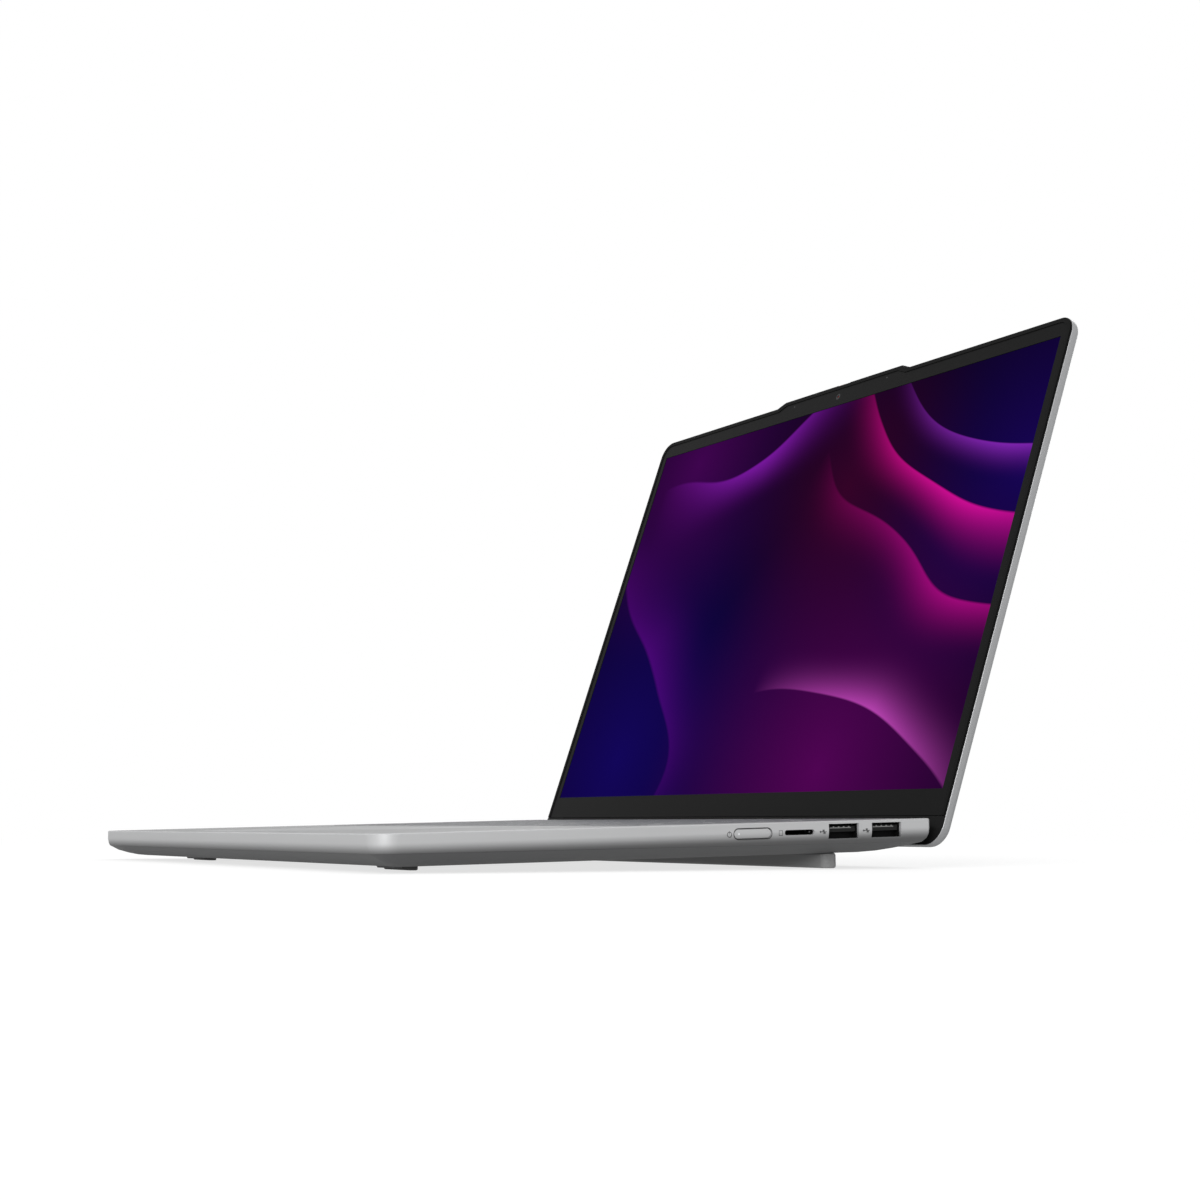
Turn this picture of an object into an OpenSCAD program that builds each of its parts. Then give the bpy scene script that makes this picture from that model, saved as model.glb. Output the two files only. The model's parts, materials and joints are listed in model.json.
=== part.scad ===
// Clamshell laptop computer, 14-inch class, standing open on a table.
// X runs to the right of the person who types, Y to the rear, Z up. Millimetres.
// The origin is the bottom centre of the box that the open laptop fills.

/* [Base] */
// Width of the base and the lid
base_w = 313; // [305:1:325]
// Depth of the base, from the front edge to its rear corners
base_d = 216.7; // [211:0.1:226]
// Thickness of the base at the front
base_h_front = 10.9; // [10.7:0.1:12]
// Thickness of the base at the rear
base_h_rear = 11.8; // [11.5:0.1:13]
// Angle by which the rear foot lifts the deck
deck_tilt = 1.5; // [1:0.1:2.5]
// Gap between the table and the underside at the front edge
front_gap = 1.4; // [1:0.1:3]
// Plan radius of the front corners
front_corner_r = 8; // [6:0.5:12]
// Plan radius of the rear corners
rear_corner_r = 1.5; // [1.2:0.1:3]
// Depth of the recess between the rear corners, in which the hinge lies
recess_d = 3.3; // [3:0.1:3.5]
// Width of a rear corner beside that recess
recess_side = 9.5; // [8.5:0.1:11]
// Thickness of the side walls of the top case
side_wall = 2.8; // [2.4:0.1:3.2]
// Thickness of the deck
deck_t = 0.8; // [0.8:0.05:1]
// Thickness of the bottom cover
cover_t = 1; // [0.8:0.1:1.1]
// Depth of the joint between top case and bottom cover, at the front
parting_front = 6.7; // [6.6:0.1:7.4]
// Depth of that joint at the rear
parting_rear = 8.4; // [8.2:0.1:8.8]

/* [Lid] */
// Thickness of the lid behind the bezel face
lid_t = 4.8; // [4.6:0.1:6]
// Width of the bezel beside the display
bezel_side = 5.7; // [5:0.1:9]
// Width of the bezel above the display
bezel_top = 8.8; // [8.2:0.1:12]
// Distance from the hinge axis to the display's lower edge
chin_h = 17; // [15:0.1:22]
// Length of the lid below the hinge axis
lid_tail = 4.9; // [4.8:0.1:5.6]
// Distance from the front edge back to the top of the shut lid
lid_setback = 2.9; // [2.4:0.1:4]
// Plan radius of the lid's upper corners
lid_upper_r = 8; // [6:0.5:11]
// Plan radius of the lid's lower corners
lid_lower_r = 8; // [6:0.5:10]
// Width of the metal rim round the bezel
lid_rim = 1.1; // [0.8:0.1:1.3]
// Thickness of the lid's back wall
lid_wall = 0.8; // [0.6:0.05:1]
// Thickness of the bezel, which lies on the rim
bezel_t = 0.4; // [0.3:0.05:0.5]
// Height of the camera bump above the lid's top edge
bump_h = 2.2; // [1:0.1:2.6]
// Width of the camera bump at its foot
bump_w = 103; // [80:1:130]
// Width of the rubber strip round the bezel
strip_w = 1.8; // [1.4:0.1:2.2]
// Height of the rubber strip above the bezel face
strip_h = 0.35; // [0.2:0.05:0.4]

/* [Hinge] */
// Angle between the deck and the screen
open_angle = 110.9; // [95:0.1:140]
// Distance from the rear wall back to the hinge axis
axis_back = 3.8; // [3.8:0.1:4.4]
// Depth of the hinge axis below the deck
axis_drop = 3.7; // [3.6:0.1:4]
// Gap between the deck and the bezel face when the lid is shut
closed_gap = 0.5; // [0.45:0.05:0.7]
// Radius of the hinge cover's round nose
nose_r = 3.5; // [3.2:0.1:3.5]
// Radius of the hinge pin
pin_r = 2; // [1.6:0.1:2.2]
// Running clearance round the hinge pin
pin_clear = 0.05; // [0.03:0.01:0.08]
// Distance from the side of the laptop to the outer end of a knuckle
knuckle_side = 21.5; // [20.5:0.5:22]
// Length of a knuckle
knuckle_len = 29; // [20:0.5:29]

/* [Keyboard] */
// Width of the deck beside the keys
keys_side = 17; // [15:0.1:20]
// Depth of a key row with its gap
pitch_y = 18.2; // [17:0.1:18.4]
// Depth of the function row with its gap
function_pitch_y = 12.4; // [11:0.1:12.5]
// Distance from the rear wall to the function row
keys_back = 9.7; // [9.3:0.1:9.9]
// Gap between two keys
key_gap = 2.6; // [2.2:0.1:3.4]
// Clearance between a key and its opening
key_clear = 0.3; // [0.2:0.05:0.4]
// Thickness of a key cap
key_t = 1.25; // [1:0.05:1.3]
// Height of the key tops above the deck
key_proud = 0.15; // [0:0.05:0.2]
// Travel of a key
key_travel = 1.3; // [1:0.1:1.4]
// Plan radius of a key's corners
key_r = 1.6; // [0.8:0.1:2.5]

/* [Touchpad] */
// Width of the touchpad
pad_w = 135; // [110:1:136]
// Gap between the touchpad and the keys
pad_gap = 11.3; // [9:0.1:20]
// Distance from the front edge to the touchpad
pad_front = 9; // [8.5:0.1:9]
// Clearance round the touchpad
pad_clear = 0.25; // [0.15:0.05:0.4]
// Thickness of the touchpad's glass
pad_glass_t = 0.9; // [0.7:0.05:1]

/* [Right side, from the rear edge] */
// Middle of the power button
power_back = 77; // [75:0.5:85]
// Length of the power button
power_len = 15.2; // [12:0.1:18]
// Height of the power button
power_h = 3.3; // [2.5:0.1:3.6]
// Travel of the power button
power_travel = 0.5; // [0.3:0.1:0.6]
// Middle of the card slot
card_back = 57.5; // [57:0.1:58]
// Length of the card slot
card_len = 12.6; // [12:0.1:13.2]
// Height of the card slot
card_h = 1.8; // [1.4:0.1:2]
// Middle of the rear USB-A socket
usb_a_back = 19.9; // [19.6:0.1:20.2]
// Distance between the two USB-A sockets
usb_a_pitch = 18.7; // [18:0.1:19]
// Width of a USB-A opening
usb_a_w = 13; // [12.5:0.1:13.2]
// Height of a USB-A opening
usb_a_h = 5.2; // [5:0.1:5.3]

/* [Left side, from the rear edge] */
// Middle of the rear USB-C socket
usb_c_back = 21; // [20:0.5:23]
// Distance from the rear to the front USB-C socket
usb_c_pitch = 41; // [39:0.5:42]
// Middle of the HDMI socket
hdmi_back = 41; // [40:0.5:42]
// Middle of the audio jack
audio_back = 78; // [77:0.5:81]
// Radius of the audio jack's bore
audio_r = 1.75; // [1.7:0.05:1.8]
// Depth of the audio jack's bore
audio_depth = 11.5; // [11:0.5:12]

/* [Feet] */
// Distance from the front edge to the middle of a front foot's rubber pad
front_foot_y = 30.2; // [28:0.1:36]
// Distance from the side to the middle of a front foot
front_foot_side = 50.5; // [45:0.5:60]
// Length of a front foot's rubber pad
front_foot_w = 23; // [18:0.5:34]
// Depth of that pad
front_foot_d = 3.6; // [3.4:0.1:6]
// Length of the ledge in front of the pad
ledge_w = 17; // [12:0.5:32]
// Depth of that ledge
ledge_d = 4.2; // [4:0.1:6]
// Distance from the rear edge to the middle of the rear foot
rear_foot_back = 35; // [33:0.5:37]
// Gap between an end of the rear foot and the side
rear_foot_side = 13.5; // [12:0.5:20]
// Depth of the rear foot bar
rear_foot_d = 6.4; // [5:0.1:7]

/* [Inside] */
// Thickness of the keyboard's steel plate
plate_t = 0.4; // [0.3:0.05:0.5]
// Depth of the keyboard plate's top below the deck
plate_drop = 2.6; // [2.6:0.05:2.7]
// Depth of the main board
board_d = 99.7; // [99:0.1:101]
// Thickness of a circuit board
board_t = 1; // [0.8:0.1:1.2]
// Gap between the battery and the boards
battery_gap = 10; // [9:0.5:16]
// Thickness of the battery
battery_t = 5.6; // [4:0.1:5.7]
// Outer size of a fan housing
fan_size = 56; // [50:1:57]
// Thickness of a fan housing
fan_t = 5.9; // [5:0.1:6.2]
// Number of blades on a fan
fan_blades = 17; // [9:1:21]
// Radius of a bottom screw's head
screw_head_r = 2.2; // [1.8:0.1:2.4]

/* [Hidden] */

$fn = 32;
cut = 1;                                     // overshoot of a cut past the face that it opens
thin = 0.01;                                 // thickness of a section that a hull joins
left = -1;
right = 1;

// Heights in the deck's frame: y from the front edge to the rear, z = 0 on the deck
belly_tilt = atan((base_h_rear - base_h_front) / base_d);
parting_tilt = atan((parting_rear - parting_front) / base_d);
function thickness_at(y) = base_h_front + y * tan(belly_tilt);
half_w = base_w / 2;
rear_wall_y = base_d - recess_d;
recess_x = half_w - recess_side;
inner_x = half_w - side_wall;                // inner face of a side wall
port_skin = 1.2;                             // wall left in front of a socket
port_x = half_w - port_skin;                 // mouth of a socket
plate_bottom = -plate_drop - plate_t;

// Sections of the base: [depth at the front, depth at the rear, inset at the sides and front,
// inset at the rear]
base_sections = [
    [thin, thin, 0.35, 0.3],
    [0.35, 0.35, 0, 0],
    [3.5, 3.5, 0, 0],
    [5.2, 5.4, 0.3, 0.25],
    [6.3, 7, 0.8, 0.9],
    [parting_front, parting_rear, 1.5, 2.6],
    [8.4, 9.4, 4.6, 6],
    [9.7, 10.5, 8.2, 11],
    [base_h_front - 0.35, base_h_rear - 0.45, 11.5, 16],
    [base_h_front, base_h_rear, 14.5, 22]];

// Lid frame: origin on the hinge axis, y up the lid, z out of the screen
axis_y = rear_wall_y + axis_back;
face_z = -(axis_drop + closed_gap);          // bezel face
back_z = face_z - lid_t;
shell_floor_z = back_z + lid_wall;
lid_top = axis_y - lid_setback;
display_w = base_w - 2 * bezel_side;
display_low = chin_h;
display_high = lid_top - bezel_top;
glass_z = face_z - bezel_t;
groove_y = 6.5;                              // joint between the bezel and the hinge cover
inner_lid_x = half_w - lid_rim;
frame_inset = 0.15;                          // rim left in sight round the bezel
strip_inset = 0.6;
panel_border = 1.7;                          // edge of the panel that the bezel hides
panel_top = display_high + panel_border;
inner_lid_top = lid_top - lid_rim;
strip_z = face_z + strip_h;
bump_slope = 6;                              // run of each sloping end of the bump
bump_top = lid_top + bump_h;
slider_x = 0.4;                              // middle of the slider with the camera covered
slider_w = 4;
slider_travel = 4;
slot_left = slider_x - slider_w / 2 - 0.5;
slot_right = slider_x + slider_w / 2 + slider_travel + 0.5;
camera_y = display_high + 4.8;
camera_r = 1.5;

// Hinge
ear_t = 3;
ear_gap = 0.3;
knuckle_end = half_w - knuckle_side;
knuckle_x = knuckle_end - knuckle_len;
pin_inner = knuckle_x - 6;
pin_outer = knuckle_end + 7;
cover_x = recess_x - 1;                      // end of the hinge cover's round nose
leaf_low = -axis_drop - 0.9;
leaf_high = -axis_drop + 0.6;

// Keyboard, in key units from the left, front row last
rows = [
    [for (i = [0:14]) 1],
    concat([for (i = [0:12]) 1], [2]),
    concat([1.5], [for (i = [0:11]) 1], [1.5]),
    concat([1.75], [for (i = [0:10]) 1], [2.25]),
    concat([2.25], [for (i = [0:9]) 1], [2.75]),
    [1.25, 1, 1, 1.25, 5.25, 1.25, 1]];
row_units = 15;
pitch_x = (base_w - 2 * keys_side) / row_units;
keys_rear = rear_wall_y - keys_back;
keys_front = keys_rear - function_pitch_y - 5 * pitch_y;
pad_d = keys_front - pad_gap - pad_front;
arrow_start = 12;
keys_w = row_units * pitch_x;
function row_start(row, i) = i == 0 ? 0 : row_start(row, i - 1) + rows[row][i - 1];
function row_y(row) = keys_front + (row == 0 ? 5 : 5 - row) * pitch_y;
function row_depth(row) = row == 0 ? function_pitch_y : pitch_y;
key_bottom = key_proud - key_t;

// Inside
board_top = -deck_t - usb_a_h - 2 * 0.25;    // boards lie under the USB-A sockets
board_low = board_top - board_t;
board_x = half_w - 6.5;                      // outer edge of the boards
board_rear = rear_wall_y - 12;
board_front = board_rear - board_d;
side_board_w = 36;
side_board_x = board_x - side_board_w;
side_board_rear = board_rear + 4;
fins_d = 13;
fins_front = rear_wall_y - side_wall - 5.3 - fins_d;
fins_low = board_low - 0.9;                  // on the heat pipe, which the processor carries
fins_gap = 1.6;                              // between the fins and a fan
fan_x = side_board_x - 8 - fan_size / 2;
fan_y = fins_front - fins_gap - fan_size / 2;
fan_r = fan_size / 2 - 2;
fan_top = plate_bottom;
fan_low = fan_top - fan_t;
fan_shaft_r = 1;
fins_x = fan_x - 26;                         // inner end of the fins
centre_board_x = fan_x - fan_size / 2 - 4;
strip_rear = fan_y - fan_size / 2 - 6;       // rear edge of the board in front of the left fan
card_front = board_front + 2;                // front ends of the two cards under the board
speaker_w = 28;
speaker_x = half_w - 19.5 - speaker_w / 2;
speaker_low = -9.6;
battery_w = 2 * (speaker_x - speaker_w / 2 - 7);
battery_front = pad_front + 15;
battery_d = board_front - battery_gap - battery_front;
battery_top = -4.2;
battery_low = battery_top - battery_t;
battery_boss_inset = 6;
speaker_d = battery_d - 18;
pipe_t = 0.8;
bracket_x = pad_w / 2 + 4.5;
bracket_low = -3;
screw_r = 1;
screw_len = 4.6;
screw_head_t = 0.5;
screw_sink = 0.55;
boss_r = 2.2;
front_foot_x = half_w - front_foot_side;
rear_foot_y = base_d - rear_foot_back;
rear_foot_w = base_w - 2 * rear_foot_side;
// Screws through the bottom cover: [x, distance from the front edge]
case_screws = [
    for (side = [left, right]) for (p = [
            [bracket_x + 12, pad_front + 9.5], [half_w - 31.5, pad_front + 9.5],
            [bracket_x + 13, board_front - 5.6], [half_w - 21.5, board_front - 5.6]])
        [side * p[0], p[1]]];
plate_screw_x = (fan_x + fan_size / 2 + side_board_x) / 2;
plate_screws = [for (side = [left, right]) [side * plate_screw_x, rear_wall_y - 23.5]];
// Studs that carry the boards
board_studs = [
    [centre_board_x - 16, board_front + 8], [centre_board_x - 16, board_rear - 8],
    [board_x - 20, board_front + 24], [board_x - 20, board_rear - 24]];

// Ports
power_y = base_d - power_back;
card_y = base_d - card_back;
usb_a_y = base_d - usb_a_back;
usb_c_y = base_d - usb_c_back;
hdmi_y = base_d - hdmi_back;
audio_y = base_d - audio_back;

// Place of the deck's front edge over the table, and of the whole laptop over its box's centre
deck_z = base_h_front + front_gap;
lid_lean = 180 - open_angle + deck_tilt;
rear_reach = axis_y * cos(deck_tilt) + axis_drop * sin(deck_tilt)
    + bump_top * cos(lid_lean) - (back_z + 0.6) * sin(lid_lean);
deck_y = -rear_reach / 2;

// Colours
silver = [0.66, 0.67, 0.68];
key_grey = [0.44, 0.46, 0.48];
cover_grey = [0.5, 0.51, 0.52];
matte_black = [0.1, 0.1, 0.1];
rubber_black = [0.06, 0.06, 0.06];
steel = [0.7, 0.7, 0.72];
copper = [0.72, 0.45, 0.3];
board_green = [0.07, 0.16, 0.13];

// ---- Frames ----

module deck_frame() {
    translate([0, deck_y, deck_z]) rotate([deck_tilt, 0, 0]) children();
}

module lid_frame() {
    deck_frame() translate([0, axis_y, -axis_drop]) rotate([180 - open_angle, 0, 0]) children();
}

// z = 0 on the underside, +z into the base
module underside_frame() {
    translate([0, 0, -base_h_front]) rotate([-belly_tilt, 0, 0]) children();
}

// z = 0 on the joint between top case and bottom cover
module parting_frame() {
    translate([0, 0, -parting_front]) rotate([-parting_tilt, 0, 0]) children();
}

// ---- Outlines ----

// Rectangle from x = -w/2 and y = 0 with one radius at the front and one at the rear
module plan_outline(w, d, front_r, rear_r) {
    translate([-w / 2 + front_r, 0]) square([w - 2 * front_r, d / 2]);
    translate([-w / 2, front_r]) square([w, d - front_r - rear_r]);
    translate([-w / 2 + rear_r, d / 2]) square([w - 2 * rear_r, d / 2]);
    for (side = [left, right]) {
        translate([side * (w / 2 - front_r), front_r]) circle(front_r);
        translate([side * (w / 2 - rear_r), d - rear_r]) circle(rear_r);
    }
}

module rounded_rectangle(w, d, r) {
    translate([-w / 2 + r, -d / 2]) square([w - 2 * r, d]);
    translate([-w / 2, -d / 2 + r]) square([w, d - 2 * r]);
    for (sx = [-1, 1]) for (sy = [-1, 1])
        translate([sx * (w / 2 - r), sy * (d / 2 - r)]) circle(r);
}

module pill(len, h) {
    square([len - h, h], center = true);
    for (side = [left, right]) translate([side * (len - h) / 2, 0]) circle(h / 2);
}

// Turns an outline drawn in (y, z) into a bar along +x
module along_x(len) {
    rotate([90, 0, 90]) linear_extrude(len) children();
}

// A box between two corners
module block(low, high) {
    translate(low) cube(high - low);
}

// Mirrors to the left or leaves at the right
module on_side(side) {
    if (side == left) mirror([1, 0, 0]) children();
    else children();
}

// ---- Base ----

module base_body() {
    difference() {
        hull() for (s = base_sections) {
            d = base_d - s[2] - s[3];
            translate([0, 0, -s[0]]) rotate([-atan((s[1] - s[0]) / base_d), 0, 0])
                translate([0, s[2], 0]) linear_extrude(thin) plan_outline(base_w - 2 * s[2], d,
                    max(front_corner_r - s[2], 3), max(rear_corner_r - s[3], 1.2));
        }
        block([-recess_x, rear_wall_y, -2 * base_h_rear], [recess_x, base_d + cut, cut]);
    }
}

module key_outline(row, i, grow) {
    w = rows[row][i] * pitch_x - key_gap + 2 * grow;
    d = row_depth(row) - key_gap + 2 * grow;
    x = -keys_w / 2 + (row_start(row, i) + rows[row][i] / 2) * pitch_x;
    translate([x, row_y(row) + row_depth(row) / 2]) rounded_rectangle(w, d, key_r + grow);
}

// Arrow keys: 0 left, 1 up, 2 down, 3 right, each half a row deep
module arrow_outline(i, grow) {
    column = i == 0 ? 0.5 : i == 3 ? 2.5 : 1.5;
    half = (pitch_y - key_gap) / 2 - 0.35;
    y = row_y(5) + key_gap / 2 + (i == 1 ? half * 1.5 + 0.7 : half / 2);
    translate([-keys_w / 2 + (arrow_start + column) * pitch_x, y])
        rounded_rectangle(pitch_x - key_gap + 2 * grow, half + 2 * grow, key_r / 2 + grow);
}

module key_openings() {
    translate([0, 0, -deck_t - cut]) linear_extrude(deck_t + 2 * cut) {
        for (row = [0:5]) for (i = [0:len(rows[row]) - 1]) key_outline(row, i, key_clear);
        for (i = [0, 3]) arrow_outline(i, key_clear);
    }
    // the up and down keys share one opening
    block([-keys_w / 2 + (arrow_start + 1) * pitch_x + key_gap / 2 - key_clear,
            row_y(5) + key_gap / 2 - key_clear, -deck_t - cut],
        [-keys_w / 2 + (arrow_start + 2) * pitch_x - key_gap / 2 + key_clear,
            row_y(5) + pitch_y - key_gap / 2 + key_clear, cut]);
}

module pad_outline(grow) {
    translate([0, pad_front + pad_d / 2]) rounded_rectangle(pad_w + 2 * grow, pad_d + 2 * grow, 3 + grow);
}

// Cuts through a side wall: a pill or a rectangle centred at (y, z)
module side_cut(side, y, z, len, h, round_ends) {
    on_side(side) translate([inner_x - cut, y, z]) along_x(side_wall + 2 * cut) {
        if (round_ends) pill(len, h);
        else square([len, h], center = true);
    }
}

// Widens a port's cut from the inside, up to the skin that its mouth touches
module port_pocket(side, y, z, len, h) {
    on_side(side) block([inner_x - cut, y - len / 2, z - h / 2], [port_x, y + len / 2, z + h / 2]);
}

port_z = -deck_t - 0.25 - usb_a_h / 2;       // middle height of the USB-A sockets
card_z = -3.65;
power_z = -3.6;
usb_a_outer_w = usb_a_w + 0.8;
usb_a_outer_h = usb_a_h + 0.5;
usb_c_w = 8.9;
usb_c_h = 3.2;
usb_c_z = board_top + usb_c_h / 2 + 0.4;
hdmi_w = 14.4;
hdmi_h = 4.6;
hdmi_z = board_top + hdmi_h / 2 + 0.4;
audio_snout_r = 2.7;
audio_z = -deck_t - 0.15 - audio_snout_r;

module top_case() {
    color(silver) deck_frame() {
        difference() {
            intersection() {
                base_body();
                parting_frame() block([-base_w, -cut, 0], [base_w, base_d + cut, 2 * base_h_rear]);
            }
            // inside, up to the deck
            translate([0, side_wall, -2 * base_h_rear]) linear_extrude(2 * base_h_rear - deck_t)
                plan_outline(base_w - 2 * side_wall, rear_wall_y - 2 * side_wall,
                    front_corner_r - side_wall, 1);
            key_openings();
            translate([0, 0, -deck_t - cut]) linear_extrude(deck_t + 2 * cut) pad_outline(pad_clear);
            right_side_cuts();
            left_side_cuts();
            hinge_cuts();
            exhaust_cuts();
        }
        case_bosses();
        battery_bosses();
        hinge_seats();
    }
}

module right_side_cuts() {
    side_cut(right, power_y, power_z, power_len + 0.24, power_h + 0.24, true);
    side_cut(right, card_y, card_z, card_len, card_h, true);
    port_pocket(right, card_y, card_z, card_len + 1.4, card_h + 1);
    for (i = [0, 1]) {
        side_cut(right, usb_a_y - i * usb_a_pitch, port_z, usb_a_w, usb_a_h, false);
        port_pocket(right, usb_a_y - i * usb_a_pitch, port_z, usb_a_outer_w, usb_a_outer_h);
    }
}

module left_side_cuts() {
    for (i = [0, 1]) {
        side_cut(left, usb_c_y - i * usb_c_pitch, usb_c_z, usb_c_w, usb_c_h, true);
        port_pocket(left, usb_c_y - i * usb_c_pitch, usb_c_z, usb_c_w + 0.8, usb_c_h + 0.8);
    }
    side_cut(left, hdmi_y, hdmi_z, hdmi_w, hdmi_h, false);
    port_pocket(left, hdmi_y, hdmi_z, hdmi_w + 0.8, hdmi_h + 0.8);
    translate([-half_w - cut, audio_y, audio_z]) rotate([0, 90, 0])
        cylinder(h = side_wall + 2 * cut, r = audio_snout_r + 0.1);
}

// Slots in the rear wall for the hinge leaves
module hinge_cuts() {
    for (side = [left, right]) on_side(side)
        block([knuckle_x - ear_gap, rear_wall_y - side_wall - cut, leaf_low - ear_gap],
            [knuckle_end + ear_gap, rear_wall_y + cut, leaf_high]);
}

exhaust_slots = 9;
exhaust_pitch = 5.6;
exhaust_w = 3.6;
module exhaust_cuts() {
    for (side = [left, right]) for (i = [0:exhaust_slots - 1]) {
        x = fins_x + 1.5 + i * exhaust_pitch;
        on_side(side) block([x, rear_wall_y - side_wall - cut, -6.6],
            [x + exhaust_w, rear_wall_y + cut, -2.6]);
    }
}

// Screw bosses under the deck, ending on the bottom cover
module case_bosses() {
    underside_frame() for (p = case_screws) translate([p[0], p[1], cover_t])
        screw_boss(thickness_at(p[1]) - cover_t - deck_t / 2);
}

module screw_boss(h) {
    difference() {
        cylinder(h = h, r = boss_r);
        translate([0, 0, -cut]) cylinder(h = screw_len + cut, r = screw_r);
    }
}

module battery_bosses() {
    for (side = [left, right])
        for (y = [battery_boss_inset, battery_d - battery_boss_inset])
            translate([side * (battery_w / 2 - battery_boss_inset), battery_front + y, battery_top])
                cylinder(h = -battery_top - deck_t / 2, r = 2.5);
}

// Blocks under the deck that carry the hinge leaves
module hinge_seats() {
    for (side = [left, right]) on_side(side)
        block([knuckle_x + 2, rear_wall_y - side_wall - 3, leaf_high],
            [knuckle_end - 2, rear_wall_y - side_wall + 0.5, -deck_t / 2]);
}

foot_gap = 0.2;                              // between a front foot's pad and the ledge
ledge_h = 1.3;
vent_rows = 3;
vent_columns = 18;
vent_pitch = 12;
module intake_vents() {
    for (row = [0:vent_rows - 1]) for (i = [0:vent_columns - 1])
        translate([(i - (vent_columns - 1) / 2) * vent_pitch, fan_y - 19 + row * 8, -cut])
            linear_extrude(cover_t + 2 * cut) pill(9, 2);
}

speaker_slots = 6;
module speaker_vents() {
    for (side = [left, right]) for (i = [0:speaker_slots - 1])
        translate([side * (speaker_x - 10 + i * 4), battery_front + 20, -cut])
            linear_extrude(cover_t + 2 * cut) rotate(90) pill(14, 1.4);
}

module bottom_cover() {
    color(cover_grey) deck_frame() {
        difference() {
            intersection() {
                base_body();
                parting_frame() block([-base_w, -cut, -2 * base_h_rear], [base_w, base_d + cut, 0]);
            }
            translate([0, 0, cover_t]) base_body();
            underside_frame() {
                intake_vents();
                speaker_vents();
                for (p = concat(case_screws, plate_screws)) translate([p[0], p[1], 0]) {
                    translate([0, 0, -cut]) cylinder(h = cut + screw_sink, r = screw_head_r + 0.2);
                    cylinder(h = cover_t + cut, r = screw_r + 0.1);
                }
            }
        }
        for (side = [left, right]) front_ledge(side);
    }
}

module bottom_screws() {
    color(steel) deck_frame() underside_frame()
        for (p = concat(case_screws, plate_screws)) translate([p[0], p[1], 0]) {
            translate([0, 0, screw_sink - screw_head_t]) cylinder(h = screw_head_t, r = screw_head_r);
            cylinder(h = screw_len + cover_t - 0.3, r = screw_r);
        }
}

// Ledge of the bottom cover in front of a front foot, a little short of the table
module front_ledge(side) {
    y = front_foot_y - (front_foot_d + ledge_d) / 2 - foot_gap;
    underside_frame() translate([side * front_foot_x, y, 0]) hull() {
        translate([0, 0, cover_t / 2]) linear_extrude(thin)
            rounded_rectangle(ledge_w + 2.4, ledge_d, 1.8);
        translate([0, 0, -ledge_h]) linear_extrude(thin)
            rounded_rectangle(ledge_w - 0.6, ledge_d - 1.6, 1.1);
    }
}

// A foot: an outline on the underside, cut level with the table
module foot(x, y) {
    deck_reach = 20;
    intersection() {
        deck_frame() underside_frame() translate([x, y, -deck_reach])
            linear_extrude(deck_reach) children();
        block([-base_w, -base_w, 0], [base_w, base_w, 2 * base_h_rear]);
    }
}

module front_foot(side) {
    color(rubber_black) foot(side * front_foot_x, front_foot_y)
        rounded_rectangle(front_foot_w, front_foot_d, 1.6);
}
module front_foot_left() { front_foot(left); }
module front_foot_right() { front_foot(right); }

module rear_foot() {
    color(rubber_black) foot(0, rear_foot_y) rounded_rectangle(rear_foot_w, rear_foot_d, 2.4);
}

// ---- Inside the base ----

module keyboard_plate() {
    color(steel) deck_frame() {
        block([-keys_w / 2 - 2, keys_front - 0.4, plate_bottom],
            [keys_w / 2 + 2, keys_rear + 1.5, -plate_drop]);
        underside_frame() for (p = plate_screws) translate([p[0], p[1], cover_t])
            screw_boss(thickness_at(p[1]) - cover_t + plate_bottom + 0.2);
        for (side = [left, right]) for (p = board_studs)
            translate([side * p[0], p[1], board_top]) cylinder(h = plate_bottom - board_top + 0.1, r = 1.8);
    }
}

module main_board() {
    chip_x = centre_board_x - 12;
    color(board_green) deck_frame() {
        block([-centre_board_x, board_front, board_low], [centre_board_x, board_rear, board_top]);
        block([-board_x, board_front, board_low], [-centre_board_x, strip_rear, board_top]);
        block([-board_x, strip_rear - 7, board_low], [-side_board_x, side_board_rear, board_top]);
        // processor and memory under the board
        block([-12, fan_y - 11, board_low - 0.9], [12, fan_y + 11, board_low]);
        for (side = [left, right]) on_side(side)
            block([chip_x - 12, fan_y - 29, board_low - 0.8], [chip_x, fan_y - 15, board_low]);
        for (side = [left, right]) on_side(side)
            block([chip_x - 14, board_rear - 22, board_top], [chip_x, board_rear - 10, board_top + 1]);
    }
}

module io_board() {
    color(board_green) deck_frame()
        block([side_board_x, board_front + 2, board_low], [board_x, side_board_rear, board_top]);
}

module io_ribbon() {
    color(matte_black) deck_frame() block([centre_board_x - 6, board_front + 4, board_top],
        [side_board_x + 4, board_front + 14, board_top + 0.3]);
}

module heat_pipe() {
    plate_low = board_low - 0.9 - pipe_t;
    pipe_y = fins_front + 4.4;
    color(copper) deck_frame() {
        block([-20, fan_y - 19, plate_low], [20, fan_y + 19, plate_low + pipe_t]);
        block([-6, fan_y + 18, plate_low], [6, pipe_y - 2, plate_low + pipe_t]);
        translate([0, pipe_y, plate_low]) linear_extrude(pipe_t) pill(2 * (fan_x + 26), 6);
    }
}

fin_pitch = 3;
fin_count = 18;
module heat_fins() {
    color(copper) deck_frame() for (side = [left, right]) on_side(side) translate([fins_x, fins_front, 0]) {
        for (i = [0:fin_count - 1]) translate([i * fin_pitch, 0, fins_low + 0.4])
            cube([0.4, fins_d, -fins_low - 5]);
        translate([0, 0, fins_low]) cube([(fin_count - 1) * fin_pitch + 0.4, fins_d, 0.5]);
        translate([0, 0, -4.7]) cube([(fin_count - 1) * fin_pitch + 0.4, fins_d, 0.5]);
    }
}

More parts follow.
